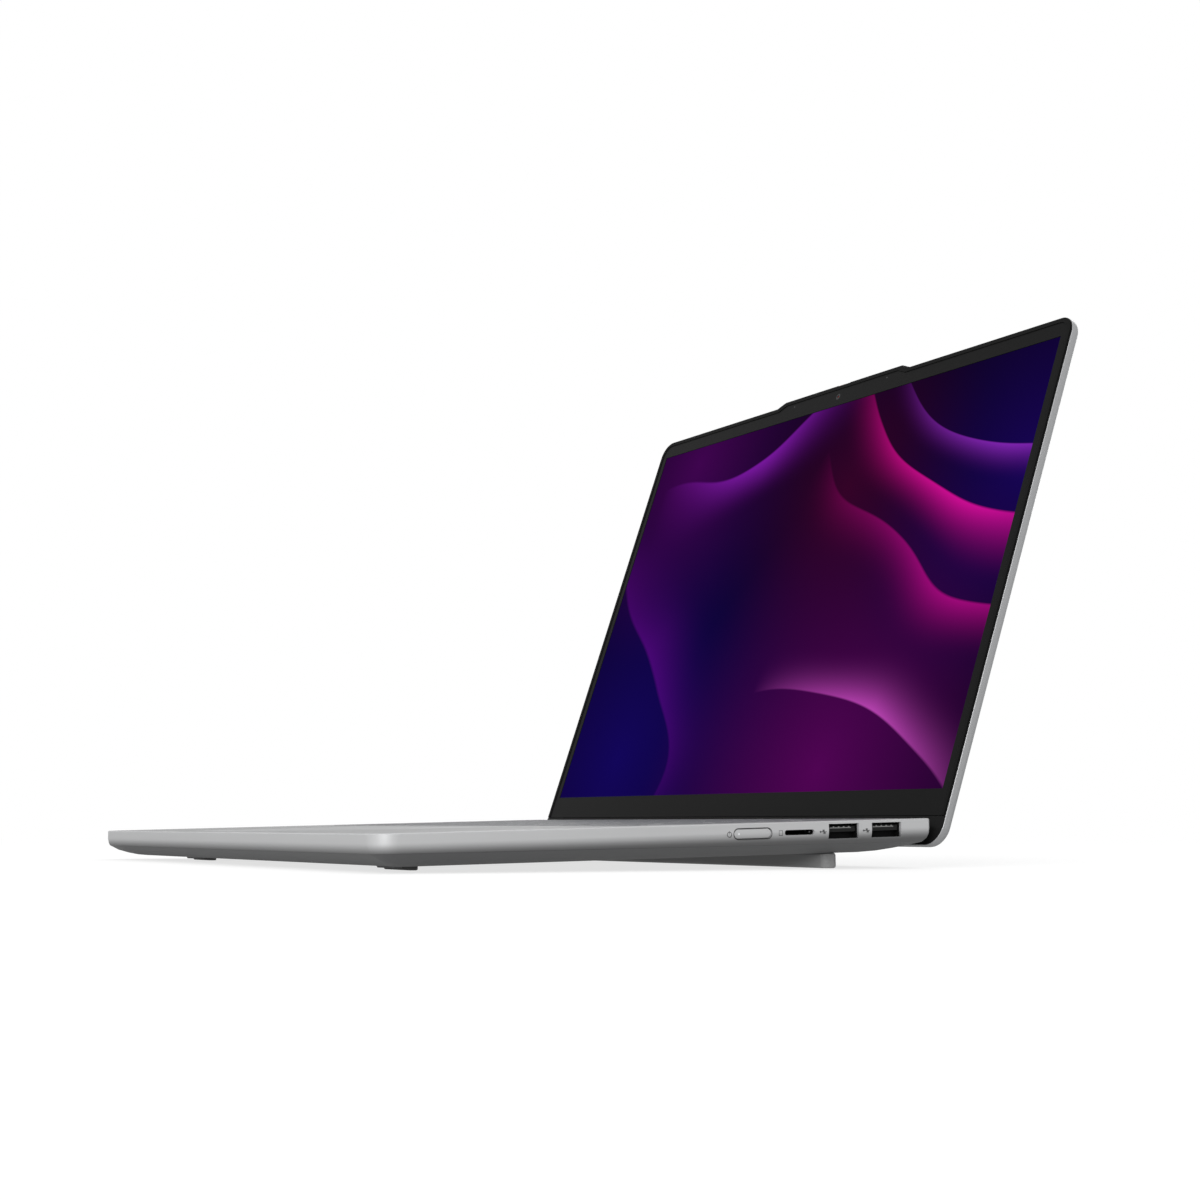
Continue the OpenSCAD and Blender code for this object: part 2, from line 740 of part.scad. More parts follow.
module fan_housing(side) {
    color(matte_black) deck_frame() translate([side * fan_x, fan_y, fan_low]) {
        difference() {
            translate([-fan_size / 2, -fan_size / 2, 0]) cube([fan_size, fan_size, fan_t]);
            translate([0, 0, 0.6]) cylinder(h = fan_t - 1.2, r = fan_r);
            translate([0, 0, -cut]) cylinder(h = 2 + cut, r = fan_r - 8);
            // mouth towards the fins
            translate([-fan_r + 2, 0, 0.6]) cube([2 * fan_r - 4, fan_size, fan_t - 1.2]);
        }
        translate([0, 0, 1.2]) cylinder(h = fan_t - 1.3, r = fan_shaft_r);
    }
}
module fan_housing_left() { fan_housing(left); }
module fan_housing_right() { fan_housing(right); }

module fan_impeller(side) {
    blade_h = fan_t - 2;
    color(matte_black) deck_frame() translate([side * fan_x, fan_y, fan_low + 1]) difference() {
        union() {
            cylinder(h = blade_h, r = 8);
            for (i = [0:fan_blades - 1]) rotate(i * 360 / fan_blades)
                translate([7, -0.3, 0]) rotate(18 * side) cube([fan_r - 9, 0.6, blade_h]);
        }
        translate([0, 0, -cut]) cylinder(h = blade_h + 2 * cut, r = fan_shaft_r + pin_clear);
    }
}
module fan_impeller_left() { fan_impeller(left); }
module fan_impeller_right() { fan_impeller(right); }

module battery_pack() {
    cell = battery_w / 4;
    tab_d = 6;
    color(matte_black) deck_frame() for (i = [0:3]) {
        block([-battery_w / 2 + i * cell, battery_front, battery_low],
            [-battery_w / 2 + (i + 1) * cell - 1, battery_front + battery_d, battery_top]);
        block([-battery_w / 2 + i * cell, battery_front + battery_d - tab_d, battery_top - 0.8],
            [-battery_w / 2 + (i + 1) * cell, battery_front + battery_d, battery_top]);
    }
}

module ssd_module() {
    len = 80;
    w = 22;
    color(board_green) deck_frame() translate([-side_board_x + 8, card_front, 0]) {
        block([0, 0, board_low - 0.8], [len, w, board_low]);
        for (x = [8, 32, 56]) block([x, 3, board_low - 2], [x + 16, w - 3, board_low - 0.8]);
    }
}

module wireless_card() {
    len = 30;
    w = 22;
    color(board_green) deck_frame() translate([centre_board_x - 4 - len, card_front, 0]) {
        block([0, 0, board_low - 0.8], [len, w, board_low]);
        block([6, 4, board_low - 2], [len - 6, w - 4, board_low - 0.8]);
    }
}

module speaker(side) {
    color(matte_black) deck_frame() translate([side * speaker_x, battery_front + speaker_d / 2, 0])
        difference() {
            block([-speaker_w / 2, -speaker_d / 2, speaker_low], [speaker_w / 2, speaker_d / 2, -deck_t]);
            translate([0, 0, speaker_low - cut]) linear_extrude(2 + cut)
                rounded_rectangle(speaker_w - 8, speaker_d - 10, 4);
        }
}
module speaker_left() { speaker(left); }
module speaker_right() { speaker(right); }

module touchpad_bracket() {
    color(steel) deck_frame() difference() {
        block([-bracket_x, pad_front - 4, bracket_low], [bracket_x, pad_front + pad_d + 4, -deck_t]);
        block([-pad_w / 2 - 1, pad_front - 1, bracket_low + 0.6],
            [pad_w / 2 + 1, pad_front + pad_d + 1, cut]);
    }
}

// ---- Sockets ----

// Metal shell with its mouth at the port skin and a tongue inside
module socket(side, y, z, w, h, depth, shell_t, tongue_w, tongue_t, tongue_z, round_ends) {
    color(steel) deck_frame() on_side(side) translate([port_x - depth, y, z]) {
        difference() {
            along_x(depth) if (round_ends) pill(w + 2 * shell_t, h + 2 * shell_t);
                else square([w + 2 * shell_t, h + 2 * shell_t], center = true);
            translate([1.5, 0, 0]) along_x(depth) if (round_ends) pill(w, h);
                else square([w, h], center = true);
        }
        translate([1, -tongue_w / 2, tongue_z - tongue_t / 2]) cube([depth - 2, tongue_w, tongue_t]);
    }
}

module usb_a_port(i) {
    socket(right, usb_a_y - i * usb_a_pitch, port_z, usb_a_w, usb_a_h, 13.6, 0.25,
        usb_a_w - 1, 1.8, 0.7, false);
}
module usb_a_port_front() { usb_a_port(1); }
module usb_a_port_rear() { usb_a_port(0); }

module card_reader() {
    depth = 13.5;
    color(steel) deck_frame() translate([port_x - depth, card_y, card_z]) difference() {
        along_x(depth) pill(card_len + 1.4, card_h + 1);
        translate([1.5, 0, 0]) along_x(depth) pill(card_len - 0.6, card_h - 0.5);
    }
    color(board_green) deck_frame() block([port_x - depth, card_y - 4, board_top],
        [port_x - 7, card_y + 4, card_z - card_h / 2 - 0.4]);
}

module hdmi_port() {
    socket(left, hdmi_y, hdmi_z, hdmi_w, hdmi_h, 11, 0.4, hdmi_w - 3, 1.2, 0.3, false);
}

module usb_c_ports() {
    for (i = [0, 1])
        socket(left, usb_c_y - i * usb_c_pitch, usb_c_z, usb_c_w, usb_c_h, 9, 0.4, 6.6, 0.7, 0, true);
}

module audio_jack() {
    color(matte_black) deck_frame() on_side(left) difference() {
        union() {
            translate([half_w - 0.2 - 13, audio_y, audio_z]) rotate([0, 90, 0])
                cylinder(h = 13, r = audio_snout_r);
            block([inner_x - 11.5, audio_y - 3.4, board_top], [inner_x - 1, audio_y + 3.4, -deck_t - 0.3]);
        }
        translate([half_w - 0.2 - audio_depth, audio_y, audio_z]) rotate([0, 90, 0])
            cylinder(h = audio_depth + cut, r = audio_r);
    }
}

module power_switch() {
    reach = power_travel + 0.1;
    color(matte_black) deck_frame() {
        block([board_x - 6, power_y - 4, board_top], [board_x - 1.4, power_y + 4, power_z + 1]);
        translate([board_x - 1.5, power_y, power_z]) rotate([0, 90, 0])
            cylinder(h = inner_x - 1 - reach - board_x + 1.5, r = 0.8);
    }
}

module power_button() {
    color(silver) deck_frame() translate([0, power_y, power_z]) {
        translate([inner_x - 0.2, 0, 0]) along_x(side_wall + 0.1) pill(power_len, power_h);
        // flange that keeps it in the case
        translate([inner_x - 1, 0, 0]) along_x(0.9) pill(power_len + 2, power_h + 0.8);
    }
}

// ---- Controls on the deck ----

module touchpad() {
    color(key_grey) deck_frame() {
        translate([0, 0, -pad_glass_t - 0.05]) linear_extrude(pad_glass_t) pad_outline(0);
        block([-pad_w / 2 + 4, pad_front + 3, -1.75], [pad_w / 2 - 4, pad_front + pad_d - 2, -pad_glass_t]);
    }
}

module cap(row, i) {
    color(key_grey) deck_frame() translate([0, 0, key_bottom]) linear_extrude(key_t) key_outline(row, i, 0);
}

module keys_function_row() { for (i = [0:14]) cap(0, i); }
module keys_number_row() { for (i = [0:12]) cap(1, i); }
module key_backspace() { cap(1, 13); }
module keys_upper_row() { for (i = [0:13]) cap(2, i); }
module keys_home_row() { for (i = [0:11]) cap(3, i); }
module key_enter() { cap(3, 12); }
module key_shift_left() { cap(4, 0); }
module keys_lower_row() { for (i = [1:10]) cap(4, i); }
module key_shift_right() { cap(4, 11); }
module keys_modifiers() { for (i = [0, 1, 2, 3, 5, 6]) cap(5, i); }
module key_space() { cap(5, 4); }
module keys_arrows() {
    color(key_grey) deck_frame() translate([0, 0, key_bottom]) linear_extrude(key_t)
        for (i = [0:3]) arrow_outline(i, 0);
}

// ---- Hinges ----

module hinge_knuckle(side) {
    color(matte_black) deck_frame() on_side(side) difference() {
        union() {
            translate([knuckle_x, axis_y, -axis_drop]) rotate([0, 90, 0])
                cylinder(h = knuckle_len, r = nose_r);
            block([knuckle_x, rear_wall_y - side_wall - 14, leaf_low],
                [knuckle_end, axis_y, leaf_high]);
        }
        translate([knuckle_x - cut, axis_y, -axis_drop]) rotate([0, 90, 0])
            cylinder(h = knuckle_len + 2 * cut, r = pin_r + pin_clear);
    }
}
module hinge_knuckle_left() { hinge_knuckle(left); }
module hinge_knuckle_right() { hinge_knuckle(right); }

module hinge_pin(side) {
    color(steel) lid_frame() on_side(side) translate([pin_inner, 0, 0]) rotate([0, 90, 0])
        cylinder(h = pin_outer - pin_inner, r = pin_r);
}
module hinge_pin_left() { hinge_pin(left); }
module hinge_pin_right() { hinge_pin(right); }

ear_x = knuckle_end + ear_gap;
module hinge_arm(side) {
    color(steel) lid_frame() on_side(side) difference() {
        union() {
            block([pin_inner, -lid_tail + lid_rim + 0.6, shell_floor_z],
                [inner_lid_x - 9, chin_h - panel_border - 0.4, shell_floor_z + 1]);
            block([ear_x, -3, shell_floor_z], [ear_x + ear_t, 3, 0]);
            translate([ear_x, 0, 0]) rotate([0, 90, 0]) cylinder(h = ear_t, r = 3.2);
        }
        translate([ear_x - cut, 0, 0]) rotate([0, 90, 0]) cylinder(h = ear_t + 2 * cut, r = pin_r);
    }
}
module hinge_arm_left() { hinge_arm(left); }
module hinge_arm_right() { hinge_arm(right); }

// ---- Lid ----

module lid_outline(inset) {
    w = base_w - 2 * inset;
    translate([0, -lid_tail + inset])
        plan_outline(w, lid_tail + lid_top - 2 * inset, lid_lower_r - inset, lid_upper_r - inset);
}

module bump_outline(inset) {
    low = bump_w / 2 - inset;
    polygon([[-low, lid_top - inset - 3], [low, lid_top - inset - 3], [low, lid_top - inset],
        [low - bump_slope, bump_top - inset], [-low + bump_slope, bump_top - inset],
        [-low, lid_top - inset]]);
}

// Sections of the lid's back edge: [depth behind the bezel's face, inset]
lid_sections = [[bezel_t, 0.2], [bezel_t + 0.25, 0], [2.2, 0], [lid_t - 1.6, 0.2],
    [lid_t - 0.8, 0.65], [lid_t - 0.3, 1.2], [lid_t, 2.1]];

module slider_slot() {
    block([slot_left, lid_top - 4, glass_z - 0.6], [slot_right, bump_top + cut, glass_z]);
    block([slot_left, bump_top - 0.5, face_z - 2.2], [slot_right, bump_top + cut, face_z + cut]);
}

module lid_shell() {
    color(silver) lid_frame() difference() {
        union() {
            hull() for (s = lid_sections) {
                translate([0, 0, face_z - s[0] - thin]) linear_extrude(thin) lid_outline(s[1]);
            }
            translate([0, 0, back_z + 0.6]) linear_extrude(lid_t - bezel_t - 0.6) bump_outline(0);
        }
        translate([0, 0, shell_floor_z]) linear_extrude(lid_t + cut) lid_outline(lid_rim);
        slider_slot();
    }
}

// Black frame over the rim, above or below the joint
module frame_outline(low, high) {
    intersection() {
        lid_outline(frame_inset);
        translate([-base_w, low]) square([2 * base_w, high - low]);
    }
}

module bezel_plate() {
    difference() {
        union() {
            frame_outline(groove_y, lid_top);
            bump_outline(frame_inset);
        }
        translate([-display_w / 2, display_low]) square([display_w, display_high - display_low]);
    }
}

module lid_bezel() {
    skirt_x = display_w / 2 + panel_border + 0.3;
    color(matte_black) lid_frame() difference() {
        union() {
            translate([0, 0, glass_z]) linear_extrude(bezel_t) bezel_plate();
            for (side = [left, right]) on_side(side)
                block([skirt_x, lid_lower_r, shell_floor_z],
                    [inner_lid_x - 0.1, lid_top - lid_upper_r, glass_z + bezel_t / 2]);
        }
        slider_slot();
        // window for the camera
        translate([0, camera_y, glass_z - cut]) cylinder(h = 2 * cut, r = camera_r);
    }
}

module lid_strip() {
    color(rubber_black) lid_frame() translate([0, 0, face_z]) linear_extrude(strip_h) difference() {
        intersection() {
            lid_outline(strip_inset);
            translate([-base_w, groove_y]) square([2 * base_w, lid_top]);
        }
        lid_outline(strip_inset + strip_w);
    }
}

module display_panel() {
    color([0.08, 0.05, 0.2]) lid_frame()
        block([-display_w / 2 - panel_border, display_low - panel_border, shell_floor_z + 0.3],
            [display_w / 2 + panel_border, panel_top, glass_z]);
}

module nose_section() {
    circle(nose_r);
    translate([-3.3, face_z]) square([6.6, -face_z]);
}

module hinge_cover() {
    flat_high = groove_y - 0.2;
    color(matte_black) lid_frame() difference() {
        union() {
            translate([0, 0, glass_z]) linear_extrude(bezel_t) frame_outline(-lid_tail, flat_high);
            translate([0, 0, face_z - 0.8]) linear_extrude(0.8 - bezel_t / 2) intersection() {
                lid_outline(lid_rim + 0.3);
                translate([-base_w, -lid_tail]) square([2 * base_w, lid_tail + flat_high]);
            }
            translate([-knuckle_x + ear_gap, 0, 0]) along_x(2 * (knuckle_x - ear_gap)) nose_section();
            for (side = [left, right]) on_side(side) translate([ear_x + ear_t + ear_gap, 0, 0])
                along_x(cover_x - ear_x - ear_t - ear_gap) nose_section();
        }
        for (side = [left, right]) on_side(side) {
            translate([pin_inner, 0, 0]) rotate([0, 90, 0]) cylinder(h = pin_outer - pin_inner, r = pin_r);
            // slot for the arm's ear
            block([ear_x - ear_gap, -3.3, face_z - 2], [ear_x + ear_t + ear_gap, 3.3, 1]);
        }
    }
}

module camera_module() {
    color(matte_black) lid_frame() {
        block([-20, panel_top + 0.2, shell_floor_z], [20, inner_lid_top - 1, glass_z - 0.7]);
        translate([0, camera_y, glass_z - 0.8]) cylinder(h = 0.15, r = camera_r + 0.3);
    }
}

// Blade whose hole comes in front of the camera when the slider is pushed to the right
module camera_shutter() {
    blade_z = glass_z - 0.5;
    blade_t = 0.35;
    color([0.5, 0.05, 0.04]) lid_frame() {
        difference() {
            block([-slider_travel - 3, camera_y - 2.4, blade_z],
                [slider_x + slider_w / 2, camera_y + 2.6, blade_z + blade_t]);
            translate([-slider_travel, camera_y, blade_z - cut])
                cylinder(h = blade_t + 2 * cut, r = camera_r + 0.1);
        }
        block([slider_x - slider_w / 2 + 0.5, camera_y + 2, blade_z],
            [slider_x + slider_w / 2 - 0.5, bump_top - 0.3, blade_z + blade_t]);
        block([slider_x - slider_w / 2, bump_top - 0.45, blade_z - 0.6],
            [slider_x + slider_w / 2, bump_top - 0.15, blade_z + 0.7]);
    }
}

module antennas() {
    color(board_green) lid_frame() for (side = [left, right]) on_side(side)
        block([bump_w / 2 + 8, panel_top + 0.2, shell_floor_z],
            [inner_lid_x - 30, inner_lid_top - 1, shell_floor_z + 1.2]);
}

module lid_magnets() {
    color(steel) lid_frame() for (side = [left, right]) on_side(side)
        block([inner_lid_x - 23, panel_top + 0.3, shell_floor_z],
            [inner_lid_x - 11, inner_lid_top - 1, shell_floor_z + 2]);
}

top_case();
bottom_cover();
keyboard_plate();
main_board();
io_board();
io_ribbon();
heat_pipe();
heat_fins();
fan_housing_left();
fan_housing_right();
battery_pack();
ssd_module();
wireless_card();
speaker_left();
speaker_right();
touchpad_bracket();
usb_a_port_front();
usb_a_port_rear();
card_reader();
hdmi_port();
usb_c_ports();
audio_jack();
power_switch();
hinge_knuckle_left();
hinge_knuckle_right();
front_foot_left();
front_foot_right();
rear_foot();
bottom_screws();
lid_shell();
lid_bezel();
lid_strip();
display_panel();
hinge_cover();
camera_module();
hinge_arm_left();
hinge_arm_right();
hinge_pin_left();
hinge_pin_right();
antennas();
lid_magnets();
camera_shutter();
power_button();
touchpad();
fan_impeller_left();
fan_impeller_right();
keys_function_row();
keys_number_row();
keys_upper_row();
keys_home_row();
keys_lower_row();
keys_modifiers();
key_space();
key_enter();
key_backspace();
key_shift_left();
key_shift_right();
keys_arrows();
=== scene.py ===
import json
import math

import bmesh
import bpy
from mathutils import Matrix, Vector


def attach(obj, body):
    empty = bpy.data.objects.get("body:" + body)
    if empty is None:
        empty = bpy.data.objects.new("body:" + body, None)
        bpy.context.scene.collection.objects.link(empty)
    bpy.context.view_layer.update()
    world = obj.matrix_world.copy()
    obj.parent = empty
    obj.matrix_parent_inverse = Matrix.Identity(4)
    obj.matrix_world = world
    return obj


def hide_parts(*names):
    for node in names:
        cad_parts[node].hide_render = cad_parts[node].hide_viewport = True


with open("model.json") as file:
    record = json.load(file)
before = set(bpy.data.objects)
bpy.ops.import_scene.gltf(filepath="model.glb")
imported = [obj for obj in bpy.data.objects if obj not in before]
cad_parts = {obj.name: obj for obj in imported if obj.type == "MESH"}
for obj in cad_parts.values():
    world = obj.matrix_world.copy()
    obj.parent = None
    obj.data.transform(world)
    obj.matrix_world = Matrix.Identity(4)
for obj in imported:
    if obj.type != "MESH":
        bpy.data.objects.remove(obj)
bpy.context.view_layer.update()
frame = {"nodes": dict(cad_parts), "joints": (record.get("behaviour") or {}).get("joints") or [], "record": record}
print("frame loaded:", len(frame["nodes"]), "nodes")

mm = 0.001

# Driving sizes, in millimetres and degrees
laptop = {
    "width": 313.0, "depth": 216.7, "recess": 3.3, "frontHeight": 10.9, "rearHeight": 11.8,
    "deckTilt": 1.5, "openAngle": 110.9, "axisBack": 3.8, "axisDrop": 3.7,
    "bezelFace": -4.2, "bezelThickness": 0.4, "lidTop": 214.3,
}
halfWidth = laptop["width"] / 2
rearWall = laptop["depth"] - laptop["recess"]
axisDepth = rearWall + laptop["axisBack"]

hingeJoint = [j for j in frame["joints"] if j["name"] == "lid_hinge"][0]
hingeAxis = Vector(hingeJoint["pos_m"])
deckTurn = Matrix.Rotation(math.radians(laptop["deckTilt"]), 4, "X")
lidTurn = Matrix.Rotation(math.radians(180 - laptop["openAngle"] + laptop["deckTilt"]), 4, "X")
deckPlace = (Matrix.Translation(hingeAxis) @ deckTurn @ Matrix.Scale(mm, 4)
             @ Matrix.Translation((0, -axisDepth, laptop["axisDrop"])))  # y from the front, z above the deck
lidPlace = Matrix.Translation(hingeAxis) @ lidTurn @ Matrix.Scale(mm, 4)  # y up the lid, z out of the screen
bellyTilt = math.atan((laptop["rearHeight"] - laptop["frontHeight"]) / laptop["depth"])
bellyPlace = (deckPlace @ Matrix.Translation((0, 0, -laptop["frontHeight"]))
              @ Matrix.Rotation(-bellyTilt, 4, "X"))  # z = 0 on the underside


# ---- camera ----

view = {"lens": 59.754, "sensor": 36.0, "place": (733.43, -388.85, 14.71), "pitch": 6.486, "heading": 61.004,
        "roll": 0.126, "nearest": 0.01}


def addCamera():
    data = bpy.data.cameras.new("camera")
    data.lens = view["lens"]
    data.sensor_width = view["sensor"]
    data.clip_start = view["nearest"]
    camera = bpy.data.objects.new("camera", data)
    camera.matrix_world = (Matrix.Translation(Vector(view["place"]) * mm)
                           @ Matrix.Rotation(math.radians(view["heading"]), 4, "Z")
                           @ Matrix.Rotation(math.radians(90 + view["pitch"]), 4, "X")
                           @ Matrix.Rotation(math.radians(view["roll"]), 4, "Z"))
    bpy.context.collection.objects.link(camera)
    bpy.context.scene.camera = camera


addCamera()
print("camera placed")


# ---- shader groups ----

def newGroup(name, inputs, outputs):
    tree = bpy.data.node_groups.new(name, "ShaderNodeTree")
    for label, kind, value in inputs:
        socket = tree.interface.new_socket(label, in_out="INPUT", socket_type=kind)
        if value is not None:
            socket.default_value = value
    for label, kind in outputs:
        tree.interface.new_socket(label, in_out="OUTPUT", socket_type=kind)
    return tree, tree.nodes.new("NodeGroupInput"), tree.nodes.new("NodeGroupOutput")


def setInputs(node, values):
    for label, value in values.items():
        node.inputs[label].default_value = value


def mathNode(tree, operation, first, second=None, clamp=False):
    node = tree.nodes.new("ShaderNodeMath")
    node.operation = operation
    node.use_clamp = clamp
    for index, value in enumerate((first, second)):
        if value is None:
            continue
        if isinstance(value, (int, float)):
            node.inputs[index].default_value = value
        else:
            tree.links.new(value, node.inputs[index])
    return node.outputs[0]


def mixColor(tree, factor, first, second, blend="MIX"):
    node = tree.nodes.new("ShaderNodeMix")
    node.data_type = "RGBA"
    node.blend_type = blend
    for socket, value in ((node.inputs["Factor"], factor), (node.inputs[6], first), (node.inputs[7], second)):
        if isinstance(value, (int, float)):
            socket.default_value = value
        elif isinstance(value, tuple):
            socket.default_value = (*value, 1.0)
        else:
            tree.links.new(value, socket)
    return node.outputs[2]


def noiseNode(tree, vector, scale, detail=2.0):
    node = tree.nodes.new("ShaderNodeTexNoise")
    setInputs(node, {"Scale": scale, "Detail": detail})
    tree.links.new(vector, node.inputs["Vector"])
    return node.outputs["Fac"]


def buildGrainGroup():  # fine blasted or moulded grain, with faint broad clouding
    tree, start, end = newGroup(
        "fineGrain",
        [("Grain Size", "NodeSocketFloat", 0.15), ("Grain Depth", "NodeSocketFloat", 0.1),
         ("Color", "NodeSocketColor", None), ("Clouding", "NodeSocketFloat", 0.04),
         ("Roughness", "NodeSocketFloat", 0.4), ("Roughness Spread", "NodeSocketFloat", 0.06)],
        [("Color", "NodeSocketColor"), ("Roughness", "NodeSocketFloat"), ("Height", "NodeSocketFloat")])
    place = tree.nodes.new("ShaderNodeTexCoord").outputs["Object"]
    grainScale = mathNode(tree, "DIVIDE", 1000.0, start.outputs["Grain Size"])
    grain = tree.nodes.new("ShaderNodeTexNoise")
    grain.inputs["Detail"].default_value = 1.0
    tree.links.new(place, grain.inputs["Vector"])
    tree.links.new(grainScale, grain.inputs["Scale"])
    cloud = noiseNode(tree, place, 22.0)
    smudge = noiseNode(tree, place, 90.0, 3.0)
    centred = mathNode(tree, "SUBTRACT", cloud, 0.5)
    shade = mathNode(tree, "MULTIPLY", centred, start.outputs["Clouding"])
    speck = mathNode(tree, "MULTIPLY", mathNode(tree, "SUBTRACT", grain.outputs["Fac"], 0.5),
                     mathNode(tree, "MULTIPLY", start.outputs["Clouding"], 2.0))
    gain = mathNode(tree, "ADD", mathNode(tree, "ADD", shade, speck), 1.0)
    gainColor = tree.nodes.new("ShaderNodeCombineColor")
    for socket in gainColor.inputs:
        tree.links.new(gain, socket)
    color = mixColor(tree, 1.0, start.outputs["Color"], gainColor.outputs[0], "MULTIPLY")
    spread = mathNode(tree, "MULTIPLY", mathNode(tree, "SUBTRACT", smudge, 0.5),
                      start.outputs["Roughness Spread"])
    tree.links.new(color, end.inputs["Color"])
    tree.links.new(mathNode(tree, "ADD", start.outputs["Roughness"], spread, True), end.inputs["Roughness"])
    tree.links.new(mathNode(tree, "MULTIPLY", grain.outputs["Fac"], start.outputs["Grain Depth"]),
                   end.inputs["Height"])
    return tree


# painted shade on the case: darker towards the lower edge of the sides, and darker on faces that point up
sideShade = {"fadeFrom": 2.8, "fadeTo": 7.2, "lowGain": 0.25, "topGain": 0.5, "levelFrom": 0.9,
             "levelTo": 0.99}


def buildPaintedShadeGroup():  # painted shade: a side that darkens towards its lower edge, and an upper face painted darker
    tree, start, end = newGroup(
        "paintedSideShade",
        [("Color", "NodeSocketColor", None), ("Up", "NodeSocketVector", None),
         ("Level", "NodeSocketFloat", 0.0), ("Fade From", "NodeSocketFloat", 0.003),
         ("Fade To", "NodeSocketFloat", 0.007),
         ("Low Gain", "NodeSocketFloat", 0.3), ("Top Gain", "NodeSocketFloat", 0.7)],
        [("Color", "NodeSocketColor")])
    place = tree.nodes.new("ShaderNodeTexCoord")

    def along(vector):
        node = tree.nodes.new("ShaderNodeVectorMath")
        node.operation = "DOT_PRODUCT"
        tree.links.new(vector, node.inputs[0])
        tree.links.new(start.outputs["Up"], node.inputs[1])
        return node.outputs["Value"]

    depth = mathNode(tree, "SUBTRACT", start.outputs["Level"], along(place.outputs["Object"]))
    fade = tree.nodes.new("ShaderNodeMapRange")
    fade.interpolation_type = "SMOOTHSTEP"
    for label, value in (("Value", depth), ("From Min", start.outputs["Fade From"]),
                         ("From Max", start.outputs["Fade To"]), ("To Max", start.outputs["Low Gain"])):
        tree.links.new(value, fade.inputs[label])
    setInputs(fade, {"To Min": 1.0})
    upward = tree.nodes.new("ShaderNodeMapRange")
    for label, value in (("Value", along(place.outputs["Normal"])), ("To Max", start.outputs["Top Gain"])):
        tree.links.new(value, upward.inputs[label])
    setInputs(upward, {"From Min": sideShade["levelFrom"], "From Max": sideShade["levelTo"], "To Min": 1.0})
    gain = tree.nodes.new("ShaderNodeCombineColor")
    for socket in gain.inputs:
        tree.links.new(mathNode(tree, "MULTIPLY", fade.outputs["Result"], upward.outputs["Result"]), socket)
    color = mixColor(tree, 1.0, start.outputs["Color"], gain.outputs[0], "MULTIPLY")
    tree.links.new(color, end.inputs["Color"])
    return tree


grainGroup = buildGrainGroup()
paintedShadeGroup = buildPaintedShadeGroup()


def paintShade(material):  # painted shade on the case, whose fade runs by depth below the deck
    tree = material.node_tree
    shader = tree.nodes["Principled BSDF"]
    source = shader.inputs["Base Color"].links[0].from_socket
    group = tree.nodes.new("ShaderNodeGroup")
    group.node_tree = paintedShadeGroup
    up = deckTurn @ Vector((0, 0, 1))
    setInputs(group, {"Up": up, "Level": up.dot(deckPlace.translation), "Low Gain": sideShade["lowGain"],
                      "Fade From": sideShade["fadeFrom"] * mm, "Fade To": sideShade["fadeTo"] * mm,
                      "Top Gain": sideShade["topGain"]})
    tree.links.new(source, group.inputs["Color"])
    tree.links.new(group.outputs["Color"], shader.inputs["Base Color"])


grainBump = {"Strength": 0.35, "Distance": 0.0001}


def finish(name, color, roughness, metallic=0.0, grain=0.15, depth=0.1, clouding=0.04, spread=0.06,
           specular=0.5, coat=0.0, coatRoughness=0.1):
    material = bpy.data.materials.new(name)
    material.use_nodes = True
    tree = material.node_tree
    shader = tree.nodes["Principled BSDF"]
    group = tree.nodes.new("ShaderNodeGroup")
    group.node_tree = grainGroup
    setInputs(group, {"Grain Size": grain, "Grain Depth": depth, "Color": (*color, 1.0), "Clouding": clouding,
                      "Roughness": roughness, "Roughness Spread": spread})
    bump = tree.nodes.new("ShaderNodeBump")
    setInputs(bump, grainBump)
    tree.links.new(group.outputs["Height"], bump.inputs["Height"])
    tree.links.new(group.outputs["Color"], shader.inputs["Base Color"])
    tree.links.new(group.outputs["Roughness"], shader.inputs["Roughness"])
    tree.links.new(bump.outputs["Normal"], shader.inputs["Normal"])
    setInputs(shader, {"Metallic": metallic, "Specular IOR Level": specular, "Coat Weight": coat,
                       "Coat Roughness": coatRoughness})
    return material


caseGrey = finish("caseGrey", (0.52, 0.523, 0.528), 0.5, metallic=0.3, grain=0.12, depth=0.12, clouding=0.03,
                  specular=0.2)
# the case's grey with painted shade laid over it
paintShade(caseGrey)
coverGrey = finish("coverGrey", (0.145, 0.147, 0.15), 0.5, metallic=0.35, grain=0.14, depth=0.15)
# the lid shell is the case's aluminium, given a darker grey as painted shade
lidGreyPaintedShade = finish("lidGreyPaintedShade", (0.37, 0.374, 0.38), 0.45, metallic=0.4, grain=0.12, depth=0.12, clouding=0.03,
                 specular=0.2)
keyGrey = finish("keyGrey", (0.15, 0.154, 0.16), 0.55, grain=0.1, depth=0.15, specular=0.2)
legendPale = finish("legendPale", (0.7, 0.71, 0.72), 0.5, grain=0.3, depth=0.02)
padGrey = finish("padGrey", (0.27, 0.275, 0.28), 0.4, grain=0.08, depth=0.06, spread=0.03, specular=0.3)
bezelBlack = finish("bezelBlack", (0.010, 0.010, 0.010), 0.3, grain=0.1, depth=0.04, spread=0.05,
                    specular=0.02)
hingeBlack = finish("hingeBlack", (0.008, 0.008, 0.008), 0.34, grain=0.15, depth=0.08, specular=0.1)
rubberBlack = finish("rubberBlack", (0.006, 0.006, 0.006), 0.62, grain=0.3, depth=0.3, specular=0.05)
footRubber = finish("footRubber", (0.12, 0.12, 0.121), 0.7, grain=0.3, depth=0.4, specular=0.2)
# the rear foot is the same rubber as the front feet, painted lighter as painted light where it sits in shade
rearFootPaintedLight = finish("rearFootPaintedLight", (0.32, 0.321, 0.323), 0.7, grain=0.3, depth=0.4, specular=0.3)
